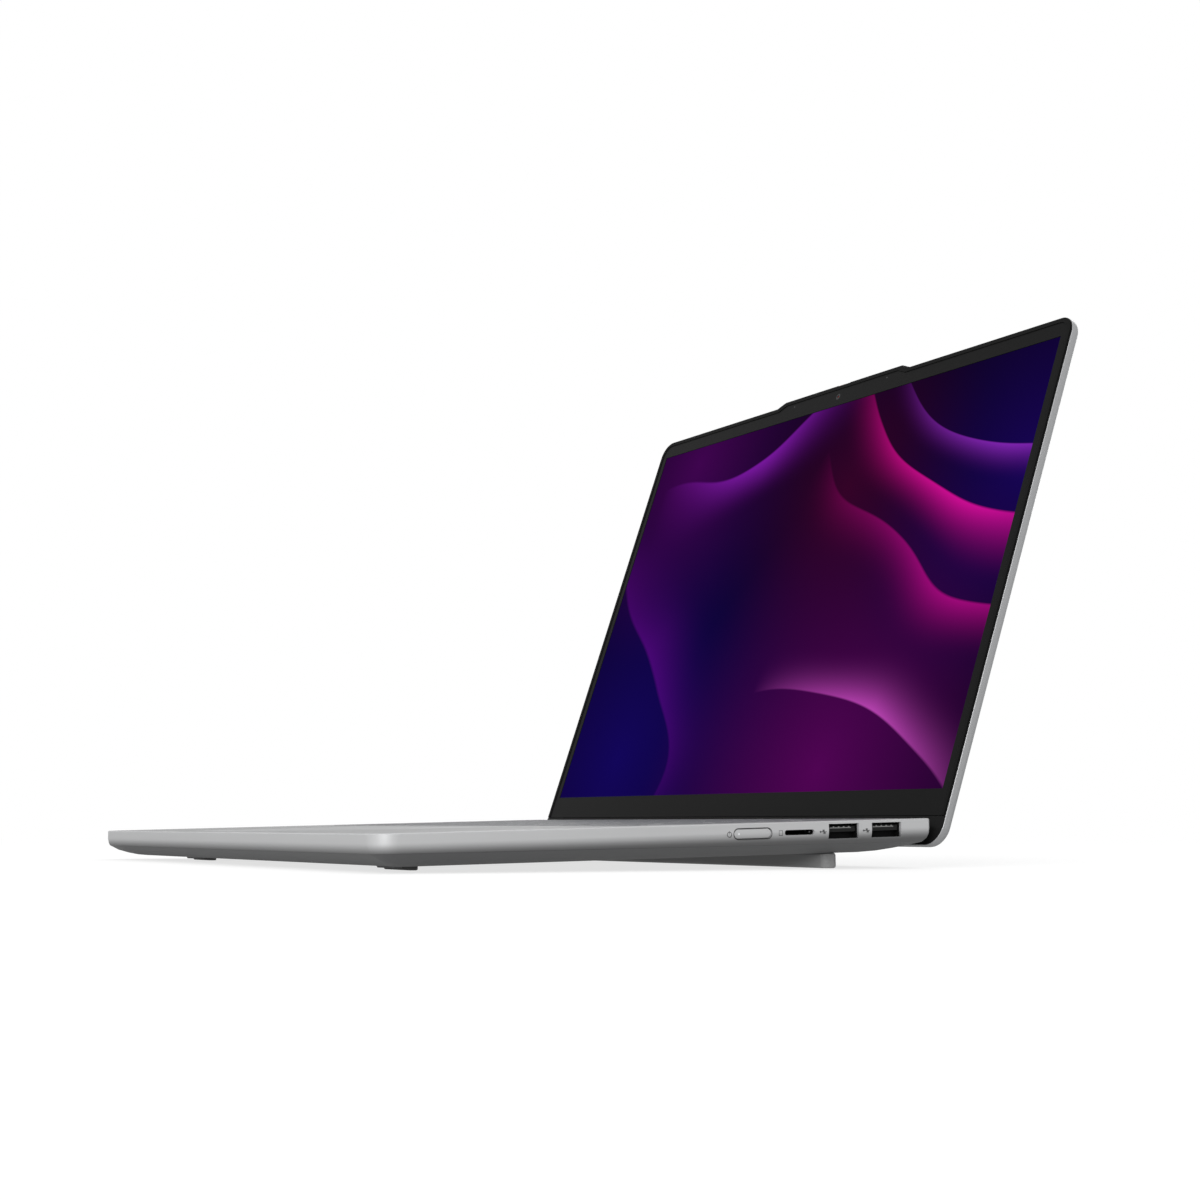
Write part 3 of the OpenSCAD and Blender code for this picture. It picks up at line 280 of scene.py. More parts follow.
# real black plastic for the inner parts, and also the painted shade of the screw sockets and microphone holes
blackPlasticAndHoleShade = finish("blackPlasticAndHoleShade", (0.014, 0.014, 0.015), 0.4, grain=0.2, depth=0.1)
socketBlack = finish("socketBlack", (0.004, 0.004, 0.004), 0.5, grain=0.2, depth=0.05, specular=0.05)
tongueBlack = finish("tongueBlack", (0.007, 0.007, 0.007), 0.45, grain=0.2, depth=0.05, specular=0.2)
boardGreen = finish("boardGreen", (0.02, 0.07, 0.05), 0.35, grain=0.6, depth=0.2, clouding=0.2)
socketSteel = finish("socketSteel", (0.5, 0.5, 0.51), 0.28, metallic=1.0, grain=0.5, depth=0.03)
contactPale = finish("contactPale", (0.24, 0.24, 0.235), 0.5, metallic=0.2, grain=0.3, depth=0.03)
plateSteel = finish("plateSteel", (0.42, 0.42, 0.43), 0.35, metallic=1.0, grain=0.4, depth=0.05)
finCopper = finish("finCopper", (0.7, 0.36, 0.2), 0.35, metallic=1.0, grain=0.4, depth=0.05)
screwSteel = finish("screwSteel", (0.11, 0.11, 0.115), 0.45, metallic=1.0, grain=0.3, depth=0.05)
shutterRed = finish("shutterRed", (0.42, 0.016, 0.012), 0.45, grain=0.2, depth=0.05)
markGrey = finish("markGrey", (0.10, 0.10, 0.102), 0.6, grain=0.3, depth=0.02, specular=0.1)
seamGrey = finish("seamGrey", (0.045, 0.045, 0.046), 0.6, grain=0.3, depth=0.02, specular=0.1)
lampGlass = finish("lampGlass", (0.75, 0.76, 0.78), 0.2, grain=0.4, depth=0.02, coat=0.6)
lensGlass = finish("lensGlass", (0.004, 0.004, 0.006), 0.15, grain=0.5, depth=0.0, spread=0.0, specular=0.15,
                   coat=0.1, coatRoughness=0.05)

nodeFinishes = {
    caseGrey: ["top_case", "power_button"],
    lidGreyPaintedShade: ["lid_shell"],
    coverGrey: ["bottom_cover"],
    keyGrey: [n for n in frame["nodes"] if n.startswith("key") and n != "keyboard_plate"],
    padGrey: ["touchpad"],
    bezelBlack: ["lid_bezel", "hinge_cover"],
    hingeBlack: ["hinge_knuckle_left", "hinge_knuckle_right"],
    rubberBlack: ["lid_strip"],
    footRubber: ["front_foot_left", "front_foot_right"],
    rearFootPaintedLight: ["rear_foot"],
    blackPlasticAndHoleShade: ["io_ribbon", "fan_housing_left", "fan_housing_right", "battery_pack", "speaker_left",
                   "speaker_right", "audio_jack", "power_switch", "fan_impeller_left", "fan_impeller_right"],
    socketBlack: ["camera_module"],
    boardGreen: ["main_board", "io_board", "ssd_module", "wireless_card", "antennas"],
    socketSteel: ["usb_a_port_front", "usb_a_port_rear", "card_reader", "hdmi_port", "usb_c_ports"],
    plateSteel: ["keyboard_plate", "touchpad_bracket", "lid_magnets"],
    screwSteel: ["hinge_arm_left", "hinge_arm_right", "hinge_pin_left", "hinge_pin_right", "bottom_screws"],
    finCopper: ["heat_pipe", "heat_fins"],
    shutterRed: ["camera_shutter"],
}
for material, nodes in nodeFinishes.items():
    for node in nodes:
        data = frame["nodes"][node].data
        data.materials.clear()
        data.materials.append(material)
print("finishes made")


# ---- making pieces ----

def makePiece(name, mesh, body, material=None, replaced=(), bevel=0.0, segments=2, sharpAngle=30.0):
    piece = bpy.data.objects.new(name, mesh)
    bpy.context.collection.objects.link(piece)
    if material:
        mesh.materials.clear()
        mesh.materials.append(material)
    mesh.shade_smooth()
    if bevel:
        rounding = piece.modifiers.new("rounding", "BEVEL")
        rounding.width = bevel * mm
        rounding.segments = segments
        rounding.limit_method = "ANGLE"
        rounding.angle_limit = math.radians(sharpAngle)
        rounding.harden_normals = False
        weighting = piece.modifiers.new("weighting", "WEIGHTED_NORMAL")
        weighting.keep_sharp = True
    else:
        mesh.set_sharp_from_angle(angle=math.radians(sharpAngle))
    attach(piece, body)
    if replaced:
        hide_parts(*replaced)
    return piece


def meshFrom(name, bm, place=None):
    if place is not None:
        bm.transform(place)
    bmesh.ops.recalc_face_normals(bm, faces=bm.faces)
    mesh = bpy.data.meshes.new(name)
    bm.to_mesh(mesh)
    bm.free()
    return mesh


skin = {"weld": 0.002, "flat": 0.3}  # weld in mm, flat in degrees


def mergedCopy(node, name):  # a node's mesh as one skin with whole flat faces
    bm = bmesh.new()
    bm.from_mesh(frame["nodes"][node].data)
    bmesh.ops.remove_doubles(bm, verts=bm.verts, dist=skin["weld"] * mm)
    bmesh.ops.dissolve_limit(bm, angle_limit=math.radians(skin["flat"]), verts=bm.verts, edges=bm.edges)
    mesh = bpy.data.meshes.new(name)
    bm.to_mesh(mesh)
    bm.free()
    return mesh


def roundedOutline(width, depth, radius, steps=6):
    points = []
    for cornerX, cornerY, start in ((1, -1, -90), (1, 1, 0), (-1, 1, 90), (-1, -1, 180)):
        for step in range(steps + 1):
            angle = math.radians(start + 90 * step / steps)
            points.append((cornerX * (width / 2 - radius) + radius * math.cos(angle),
                           cornerY * (depth / 2 - radius) + radius * math.sin(angle)))
    return points


def loft(bm, rings, closed=True):  # rings of as many points each, joined in turn
    rows = [[bm.verts.new(point) for point in ring] for ring in rings]
    count = len(rows[0])
    for low, high in zip(rows, rows[1:]):
        for index in range(count):
            following = (index + 1) % count
            bm.faces.new((low[index], low[following], high[following], high[index]))
    if closed:
        bm.faces.new(list(reversed(rows[0])))
        bm.faces.new(rows[-1])
    return rows


def buildRepeatTree():  # copies of one shape in a line
    tree = bpy.data.node_groups.new("repeatInLine", "GeometryNodeTree")
    for label, kind in (("Shape", "NodeSocketObject"), ("Count", "NodeSocketInt"),
                        ("Start", "NodeSocketVector"), ("Step", "NodeSocketVector"),
                        ("Finish", "NodeSocketMaterial")):
        tree.interface.new_socket(label, in_out="INPUT", socket_type=kind)
    tree.interface.new_socket("Geometry", in_out="OUTPUT", socket_type="NodeSocketGeometry")
    start, end = tree.nodes.new("NodeGroupInput"), tree.nodes.new("NodeGroupOutput")
    line = tree.nodes.new("GeometryNodeMeshLine")
    line.mode = "OFFSET"
    shape = tree.nodes.new("GeometryNodeObjectInfo")
    copies = tree.nodes.new("GeometryNodeInstanceOnPoints")
    solid = tree.nodes.new("GeometryNodeRealizeInstances")
    coat = tree.nodes.new("GeometryNodeSetMaterial")
    tree.links.new(start.outputs["Count"], line.inputs["Count"])
    tree.links.new(start.outputs["Start"], line.inputs["Start Location"])
    tree.links.new(start.outputs["Step"], line.inputs["Offset"])
    tree.links.new(start.outputs["Shape"], shape.inputs["Object"])
    tree.links.new(line.outputs["Mesh"], copies.inputs["Points"])
    tree.links.new(shape.outputs["Geometry"], copies.inputs["Instance"])
    tree.links.new(copies.outputs["Instances"], solid.inputs["Geometry"])
    tree.links.new(solid.outputs["Geometry"], coat.inputs["Geometry"])
    tree.links.new(start.outputs["Finish"], coat.inputs["Material"])
    tree.links.new(coat.outputs["Geometry"], end.inputs["Geometry"])
    return tree


repeatTree = buildRepeatTree()
repeatSockets = {item.name: item.identifier for item in repeatTree.interface.items_tree
                 if item.item_type == "SOCKET" and item.in_out == "INPUT"}


def repeatedMesh(name, runs, place, material):  # runs of (shape mesh, count, start, step), sizes in mm
    bm = bmesh.new()
    for shapeMesh, count, first, step in runs:
        shape = bpy.data.objects.new("shape", shapeMesh)
        host = bpy.data.objects.new("run", bpy.data.meshes.new("run"))
        for item in (shape, host):
            bpy.context.collection.objects.link(item)
        row = host.modifiers.new("row", "NODES")
        row.node_group = repeatTree
        for label, value in (("Shape", shape), ("Count", count), ("Start", first), ("Step", step),
                             ("Finish", material)):
            row[repeatSockets[label]] = value
        mesh = bpy.data.meshes.new_from_object(host.evaluated_get(bpy.context.evaluated_depsgraph_get()))
        bm.from_mesh(mesh)
        bpy.data.meshes.remove(mesh)
        for item in (host, shape):
            bpy.data.objects.remove(item)
    return meshFrom(name, bm, place)


def addBox(bm, low, high):
    made = bmesh.ops.create_cube(bm, size=1.0)
    for vert in made["verts"]:
        vert.co = Vector([a + (b - a) * (c + 0.5) for a, b, c in zip(low, high, vert.co)])


def addRing(bm, centre, inner, outer, low, high, steps=32):  # a flat ring, or a disc where inner is 0
    rows = []
    for radius, z in ((inner, low), (outer, low), (outer, high), (inner, high)):
        rows.append([bm.verts.new((centre[0] + radius * math.cos(2 * math.pi * step / steps),
                                   centre[1] + radius * math.sin(2 * math.pi * step / steps), z))
                     for step in range(steps)])
    if inner:
        rows.append(rows[0])
        pairs = list(zip(rows, rows[1:]))
    else:
        bmesh.ops.delete(bm, geom=rows[0] + rows[3], context="VERTS")
        bm.faces.new(list(reversed(rows[1])))
        bm.faces.new(rows[2])
        pairs = [(rows[1], rows[2])]
    for lower, upper in pairs:
        for step in range(steps):
            following = (step + 1) % steps
            bm.faces.new((lower[step], lower[following], upper[following], upper[step]))


bodyCopies = {
    "topCase": {"node": "top_case", "body": "base", "slot": "case_grey", "finish": caseGrey, "bevel": 0.12},
    "bottomCover": {"node": "bottom_cover", "body": "base", "slot": "cover_grey", "finish": coverGrey,
                    "bevel": 0.12},
    "lidShell": {"node": "lid_shell", "body": "lid", "slot": "case_grey", "finish": lidGreyPaintedShade, "bevel": 0.1},
    "lidBezel": {"node": "lid_bezel", "body": "lid", "slot": "gloss_black", "finish": bezelBlack,
                 "bevel": 0.08},
    "hingeCover": {"node": "hinge_cover", "body": "lid", "slot": "gloss_black", "finish": bezelBlack,
                   "bevel": 0.2},
    "rearFoot": {"node": "rear_foot", "body": "base", "slot": "rubber_black", "finish": rearFootPaintedLight,
                 "bevel": 0.8},
    "frontFootLeft": {"node": "front_foot_left", "body": "base", "slot": "rubber_black",
                      "finish": footRubber, "bevel": 0.5},
    "frontFootRight": {"node": "front_foot_right", "body": "base", "slot": "rubber_black",
                       "finish": footRubber, "bevel": 0.5},
    "powerButton": {"node": "power_button", "body": "power", "slot": "case_grey", "finish": caseGrey,
                    "bevel": 0.3},
    "knuckleLeft": {"node": "hinge_knuckle_left", "body": "base", "slot": "hinge_black",
                    "finish": hingeBlack, "bevel": 0.2},
    "knuckleRight": {"node": "hinge_knuckle_right", "body": "base", "slot": "hinge_black",
                     "finish": hingeBlack, "bevel": 0.2},
}
for name, choice in bodyCopies.items():
    makePiece(name, mergedCopy(choice["node"], name), choice["body"], choice["finish"],
              [choice["node"]], choice["bevel"])


strip = {"inset": 0.6, "width": 1.8, "height": 0.35, "cornerRadius": 8.0, "low": 6.5, "bumpWidth": 103.0,
         "bumpHeight": 2.2, "bumpSlope": 6.0, "cornerSteps": 8, "bevel": 0.12}


def stripPath(inset):  # up the right edge, along the top and over the bump, as points
    side, top, radius = halfWidth - inset, laptop["lidTop"] - inset, strip["cornerRadius"] - inset
    foot = strip["bumpWidth"] / 2 - inset
    points = [(side, strip["low"])]
    for step in range(strip["cornerSteps"] + 1):
        angle = math.radians(90 * step / strip["cornerSteps"])
        points.append((side - radius + radius * math.cos(angle), top - radius + radius * math.sin(angle)))
    points += [(foot, top), (foot - strip["bumpSlope"], top + strip["bumpHeight"])]
    return points + [(-x, y) for x, y in reversed(points)]


def buildLidStrip():
    bm = bmesh.new()
    low, high = laptop["bezelFace"], laptop["bezelFace"] + strip["height"]
    outer, inner = stripPath(strip["inset"]), stripPath(strip["inset"] + strip["width"])
    loft(bm, [[(*a, low), (*a, high), (*b, high), (*b, low)] for a, b in zip(outer, inner)])
    mesh = meshFrom("lidStrip", bm, lidPlace)
    makePiece("lidStrip", mesh, "lid", rubberBlack, ["lid_strip"], strip["bevel"])


buildLidStrip()
print("shells dressed")


# ---- keys ----

keyboard = {
    "side": 17.0, "pitchY": 18.2, "functionPitch": 12.4, "back": 9.7, "gap": 2.6, "cornerRadius": 1.6,
    "thickness": 1.25, "footInset": 0.12, "footRise": 0.15, "proud": 0.15, "edge": 0.3, "dish": 0.12,
    "arrowStart": 12, "arrowGap": 0.7, "arrowSize": 0.85, "legendHeight": 4.2, "legendRise": 0.02,
    "legendHalf": 0.01, "wordShare": 0.75, "functionShare": 0.65, "leastRadius": 0.25,
    "rows": [[1] * 15, [1] * 13 + [2], [1.5] + [1] * 12 + [1.5], [1.75] + [1] * 11 + [2.25],
             [2.25] + [1] * 10 + [2.75], [1.25, 1, 1, 1.25, 5.25, 1.25, 1]],
    "legends": [["esc"] + ["F%d" % n for n in range(1, 13)] + ["ins", "del"],
                list("`1234567890-=") + ["back"], ["tab"] + list("QWERTYUIOP[]") + ["\\"],
                ["caps"] + list("ASDFGHJKL;'") + ["enter"], ["shift"] + list("ZXCVBNM,./") + ["shift"],
                ["ctrl", "fn", "sys", "alt", "", "alt", "ctrl"]],
}
pitchX = (laptop["width"] - 2 * keyboard["side"]) / 15
keysWidth = 15 * pitchX
keysFront = rearWall - keyboard["back"] - keyboard["functionPitch"] - 5 * keyboard["pitchY"]


def keyPlace(row, index):
    units = keyboard["rows"][row]
    x = -keysWidth / 2 + (sum(units[:index]) + units[index] / 2) * pitchX
    depth = keyboard["functionPitch"] if row == 0 else keyboard["pitchY"]
    y = keysFront + (5 if row == 0 else 5 - row) * keyboard["pitchY"] + depth / 2
    return x, y, units[index] * pitchX - keyboard["gap"], depth - keyboard["gap"]


def arrowPlace(index):  # left, up, down, right
    column = (0.5, 1.5, 1.5, 2.5)[index]
    depth = (keyboard["pitchY"] - keyboard["gap"] - keyboard["arrowGap"]) / 2
    x = -keysWidth / 2 + (keyboard["arrowStart"] + column) * pitchX
    y = keysFront + keyboard["gap"] / 2 + (depth * 1.5 + keyboard["arrowGap"] if index == 1 else depth / 2)
    return x, y, pitchX - keyboard["gap"], depth


def capMesh(width, depth, radius):  # one cap, centred, with a rounded edge and a shallow dish
    bm = bmesh.new()
    top = keyboard["proud"]
    edge = keyboard["edge"]
    low = top - keyboard["thickness"]
    levels = [(keyboard["footInset"], low), (0.0, low + keyboard["footRise"]), (0.0, top - edge),
              (edge * 0.3, top - edge * 0.3), (edge, top), (edge * 3, top - keyboard["dish"] * 0.35),
              (min(width, depth) * 0.3, top - keyboard["dish"])]
    rings = []
    for inset, z in levels:
        corner = max(radius - inset, keyboard["leastRadius"])
        outline = roundedOutline(width - 2 * inset, depth - 2 * inset, corner, 5)
        rings.append([(px, py, z) for px, py in outline])
    loft(bm, rings)
    return meshFrom("cap", bm)


def keyRuns(places, radius):  # neighbours of one size become one run
    runs = []
    nearly = 0.01
    for x, y, width, depth in places:
        size = (round(width, 3), round(depth, 3))
        alike = runs and runs[-1]["size"] == size and abs(runs[-1]["y"] - y) < nearly
        if alike and abs(x - runs[-1]["last"] - pitchX) < nearly:
            runs[-1]["count"] += 1
            runs[-1]["last"] = x
        else:
            runs.append({"size": size, "x": x, "y": y, "last": x, "count": 1})
    return [(capMesh(*run["size"], radius), run["count"], (run["x"], run["y"], 0), (pitchX, 0, 0))
            for run in runs]


keyBodies = {
    "keys_function_row": [(0, i) for i in range(15)],
    "keys_number_row": [(1, i) for i in range(13)],
    "key_backspace": [(1, 13)],
    "keys_upper_row": [(2, i) for i in range(14)],
    "keys_home_row": [(3, i) for i in range(12)],
    "key_enter": [(3, 12)],
    "key_shift_left": [(4, 0)],
    "keys_lower_row": [(4, i) for i in range(1, 11)],
    "key_shift_right": [(4, 11)],
    "keys_modifiers": [(5, i) for i in (0, 1, 2, 3, 5, 6)],
    "key_space": [(5, 4)],
}


def bodyOf(node):
    for body, nodes in frame["record"]["behaviour"]["bodies"].items():
        if node in nodes:
            return body


def addLegend(bm, text, x, y, height, z):
    curve = bpy.data.curves.new("legend", "FONT")
    curve.body = text
    curve.size = height
    curve.align_x = "CENTER"
    curve.align_y = "CENTER"
    curve.resolution_u = 2
    curve.extrude = keyboard["legendHalf"]
    letters = bpy.data.objects.new("legend", curve)
    bpy.context.collection.objects.link(letters)
    mesh = bpy.data.meshes.new_from_object(letters.evaluated_get(bpy.context.evaluated_depsgraph_get()))
    mesh.transform(Matrix.Translation((x, y, z)))
    bm.from_mesh(mesh)
    bpy.data.objects.remove(letters)
    bpy.data.meshes.remove(mesh)


def addTriangle(bm, x, y, size, turn, z):
    corners = []
    for angle in (90, 210, 330):
        angle = math.radians(angle + turn)
        corners.append((x + size * math.cos(angle), y + size * math.sin(angle)))
    lower = [bm.verts.new((px, py, z - keyboard["legendHalf"])) for px, py in corners]
    upper = [bm.verts.new((px, py, z + keyboard["legendHalf"])) for px, py in corners]
    bm.faces.new(list(reversed(lower)))
    bm.faces.new(upper)
    for index in range(3):
        following = (index + 1) % 3
        bm.faces.new((lower[index], lower[following], upper[following], upper[index]))


legendZ = keyboard["proud"] - keyboard["dish"] + keyboard["legendRise"]
for node, keys in keyBodies.items():
    places = [keyPlace(row, index) for row, index in keys]
    mesh = repeatedMesh(node, keyRuns(places, keyboard["cornerRadius"]), deckPlace, keyGrey)
    makePiece(node + "_caps", mesh, bodyOf(node), keyGrey, [node])
    bm = bmesh.new()
    for (row, index), (x, y, width, depth) in zip(keys, places):
        text = keyboard["legends"][row][index]
        if text:
            share = keyboard["wordShare"] if row else keyboard["functionShare"]
            size = keyboard["legendHeight"] * (1.0 if len(text) == 1 else share)
            addLegend(bm, text, x, y, size, legendZ)
    if bm.verts:
        mesh = meshFrom(node + "Legends", bm, deckPlace)
        makePiece(node + "_legends", mesh, bodyOf(node), legendPale)
    else:
        bm.free()
arrows = [arrowPlace(i) for i in range(4)]
mesh = repeatedMesh("arrowCaps", keyRuns(arrows, keyboard["cornerRadius"] * 0.5), deckPlace, keyGrey)
makePiece("arrowCaps", mesh, bodyOf("keys_arrows"), keyGrey, ["keys_arrows"])
bm = bmesh.new()
for (x, y, width, depth), turn in zip(arrows, (90, 0, 180, -90)):
    addTriangle(bm, x, y, keyboard["arrowSize"], turn, legendZ)
makePiece("arrowMarks", meshFrom("arrowMarks", bm, deckPlace), bodyOf("keys_arrows"), legendPale)
print("keys made")


# ---- touchpad ----

touchpad = {"width": 135.0, "front": 9.0, "gapToKeys": 11.3, "thickness": 0.9, "drop": 0.05, "edge": 0.25,
            "footInset": 0.1, "cornerRadius": 3.0}


def buildTouchpad():
    bm = bmesh.new()
    depth = keysFront - touchpad["gapToKeys"] - touchpad["front"]
    middle = touchpad["front"] + depth / 2
    top = -touchpad["drop"]
    rings = []
    low, foot, edge = top - touchpad["thickness"], touchpad["footInset"], touchpad["edge"]
    levels = ((foot, low), (0, low + foot), (0, top - edge), (edge * 0.3, top - edge * 0.3), (edge, top))
    for inset, z in levels:
        outline = roundedOutline(touchpad["width"] - 2 * inset, depth - 2 * inset,
                                 touchpad["cornerRadius"] - inset, 8)
        rings.append([(px, middle + py, z) for px, py in outline])
    loft(bm, rings)
    mesh = meshFrom("touchpadGlass", bm, deckPlace)
    makePiece("touchpadGlass", mesh, "pad", padGrey, ["touchpad"])


buildTouchpad()


# ---- display ----

display = {"width": 301.6, "low": 17.0, "high": 205.5, "border": 1.7, "face": -4.6, "thickness": 3.3,
           "backEdge": 0.3, "faceEdge": 0.2, "leastArea": 0.04}  # leastArea in square metres
picture = {"aspect": 1.6, "ground": (0.004, 0.0006, 0.016), "swellScale": 1.6, "swell": 0.7, "glowFade": 1.6,
           "sheetFade": 3.0, "sharpness": 30.0, "glass": (0.0005, 0.0005, 0.0005), "roughness": 0.28}
screenGlows = [  # soft coloured areas, places in screen heights from the lower left corner
    {"centre": (1.15, 0.05), "reach": 0.75, "color": (0.075, 0.0004, 0.07)},
    {"centre": (0.25, 0.1), "reach": 0.9, "color": (0.002, 0.001, 0.085)},
    {"centre": (0.2, 0.95), "reach": 0.6, "color": (0.045, 0.0005, 0.06)},
    {"centre": (0.95, 0.75), "reach": 0.5, "color": (0.03, 0.0, 0.004)},
    {"centre": (1.6, 0.7), "reach": 0.55, "color": (0.004, 0.0005, 0.07)},
]
screenSheets = [  # arcs of light, sharp along the inner edge and fading outwards
    {"centre": (1.9, 1.7), "radius": 1.12, "width": 0.16, "bend": 0.5, "focus": (1.35, 0.55), "reach": 0.75,
     "color": (0.75, 0.004, 0.30)},
    {"centre": (1.9, 1.7), "radius": 1.30, "width": 0.22, "bend": 0.7, "focus": (1.5, 0.45), "reach": 0.8,
     "color": (0.36, 0.002, 0.16)},
    {"centre": (1.85, 1.75), "radius": 1.02, "width": 0.09, "bend": 0.35, "focus": (1.5, 0.7), "reach": 0.6,
     "color": (0.24, 0.02, 0.42)},
    {"centre": (-0.5, -0.2), "radius": 0.95, "width": 0.3, "bend": 0.9, "focus": (0.3, 0.45), "reach": 0.7,
     "color": (0.07, 0.001, 0.13)},
    {"centre": (0.1, 1.75), "radius": 0.92, "width": 0.2, "bend": 0.8, "focus": (0.55, 0.85), "reach": 0.5,
     "color": (0.20, 0.01, 0.36)},
    {"centre": (1.0, -1.0), "radius": 1.22, "width": 0.16, "bend": 0.5, "focus": (1.3, 0.2), "reach": 0.5,
     "color": (0.45, 0.06, 0.40)},
]


def buildScreenMaterial():
    material = bpy.data.materials.new("litDisplay")
    material.use_nodes = True
    tree = material.node_tree
    shader = tree.nodes["Principled BSDF"]
    place = tree.nodes.new("ShaderNodeUVMap")
    place.uv_map = "screen"
    split = tree.nodes.new("ShaderNodeSeparateXYZ")
    tree.links.new(place.outputs[0], split.inputs[0])
    across = mathNode(tree, "MULTIPLY", split.outputs["X"], picture["aspect"])
    up = split.outputs["Y"]
    slow = noiseNode(tree, place.outputs[0], picture["swellScale"], 1.0)
    swell = mathNode(tree, "MULTIPLY", mathNode(tree, "SUBTRACT", slow, 0.5), picture["swell"])

    def reachFrom(centre):
        dx = mathNode(tree, "SUBTRACT", across, centre[0])
        dy = mathNode(tree, "SUBTRACT", up, centre[1])
        return mathNode(tree, "SQRT", mathNode(tree, "ADD", mathNode(tree, "MULTIPLY", dx, dx),
                                               mathNode(tree, "MULTIPLY", dy, dy)))

    color = picture["ground"]
    for glow in screenGlows:
        away = mathNode(tree, "DIVIDE", reachFrom(glow["centre"]), glow["reach"])
        near = mathNode(tree, "POWER", mathNode(tree, "SUBTRACT", 1.0, away, True), picture["glowFade"])
        color = mixColor(tree, near, color, glow["color"], "ADD")
    for sheet in screenSheets:
        bent = mathNode(tree, "ADD", reachFrom(sheet["centre"]),
                        mathNode(tree, "MULTIPLY", swell, sheet["bend"]))
        past = mathNode(tree, "DIVIDE", mathNode(tree, "SUBTRACT", bent, sheet["radius"]), sheet["width"])
        soft = mathNode(tree, "POWER", mathNode(tree, "SUBTRACT", 1.0, past, True), picture["sheetFade"])
        edge = mathNode(tree, "MULTIPLY", past, picture["sharpness"], True)
        outward = mathNode(tree, "DIVIDE", reachFrom(sheet["focus"]), sheet["reach"])
        ends = mathNode(tree, "SUBTRACT", 1.0, outward, True)
        shown = mathNode(tree, "MULTIPLY", mathNode(tree, "MULTIPLY", soft, edge), ends)
        color = mixColor(tree, shown, color, sheet["color"], "ADD")
    setInputs(shader, {"Base Color": (*picture["glass"], 1), "Roughness": picture["roughness"],
                       "Specular IOR Level": 0.0, "Emission Strength": 1.0})
    tree.links.new(color, shader.inputs["Emission Color"])
    return material


def buildDisplay():
    bm = bmesh.new()
    halfX = display["width"] / 2 + display["border"]
    low, high = display["low"] - display["border"], display["high"] + display["border"]
    back = display["face"] - display["thickness"]
    rings = []
    for inset, z in ((display["backEdge"], back), (0, back + display["backEdge"]),
                     (0, display["face"] - display["faceEdge"]), (display["faceEdge"], display["face"])):
        rings.append([(-halfX + inset, low + inset, z), (halfX - inset, low + inset, z),
                      (halfX - inset, high - inset, z), (-halfX + inset, high - inset, z)])
    loft(bm, rings)
    layer = bm.loops.layers.uv.new("screen")
    for face in bm.faces:
        for loop in face.loops:
            x, y, z = loop.vert.co
            loop[layer].uv = ((x + display["width"] / 2) / display["width"],
                              (y - display["low"]) / (display["high"] - display["low"]))
    mesh = meshFrom("displayGlass", bm, lidPlace)
    mesh.materials.append(buildScreenMaterial())
    mesh.materials.append(bezelBlack)
    for face in mesh.polygons:
        face.material_index = 0 if face.area > display["leastArea"] and face.normal.y < 0 else 1
    makePiece("displayGlass", mesh, "lid", None, ["display_panel"])


buildDisplay()
print("display lit")


# ---- side ports ----

ports = {
    "usbBack": 19.9, "usbPitch": 18.7, "usbWidth": 13.0, "usbHeight": 5.2, "usbZ": -3.65, "cardBack": 57.5,
    "cardZ": -3.65, "cardLength": 12.6, "powerBack": 77.0, "powerZ": -3.6, "powerLength": 15.2,
    "powerHeight": 3.3, "skin": 1.2,
}
portX = halfWidth - ports["skin"]
sideAxes = Matrix(((0, 0, 1, halfWidth), (1, 0, 0, 0), (0, 1, 0, 0), (0, 0, 0, 1)))
sidePlace = deckPlace @ sideAxes  # x to the rear, y up, z out of the right side


def boxMesh(low, high):
    bm = bmesh.new()
    addBox(bm, low, high)
    return meshFrom("box", bm)


lining = {  # depths are counted inwards from the mouth
    "back": 12.0, "lowFront": 2.6, "highFront": 2.7, "clearance": 0.02, "splitLow": -0.35, "splitHigh": -0.3,
    "wallBack": 2.5, "wallFront": 0.45, "sideInset": 0.12, "sideHalf": 0.1, "edgeInset": 0.1,
    "edgeHalf": 0.08, "edgeStop": 0.25, "tongueFront": 0.6, "tongueStop": 0.45, "tongueLow": -0.28,
    "tongueHigh": 1.7, "tongueBevel": 0.08,
}
contact = {
    "count": 4, "pitch": 2.2, "rise": 1.15, "tipHalf": 0.3, "tipHeight": 0.5, "tipBack": 0.64,
    "tipFront": 0.52, "barHalf": 4.6, "barLow": -0.16, "barHigh": 0.14, "barBack": 0.66,
    "barFront": 0.53, "barShift": -0.4,
}


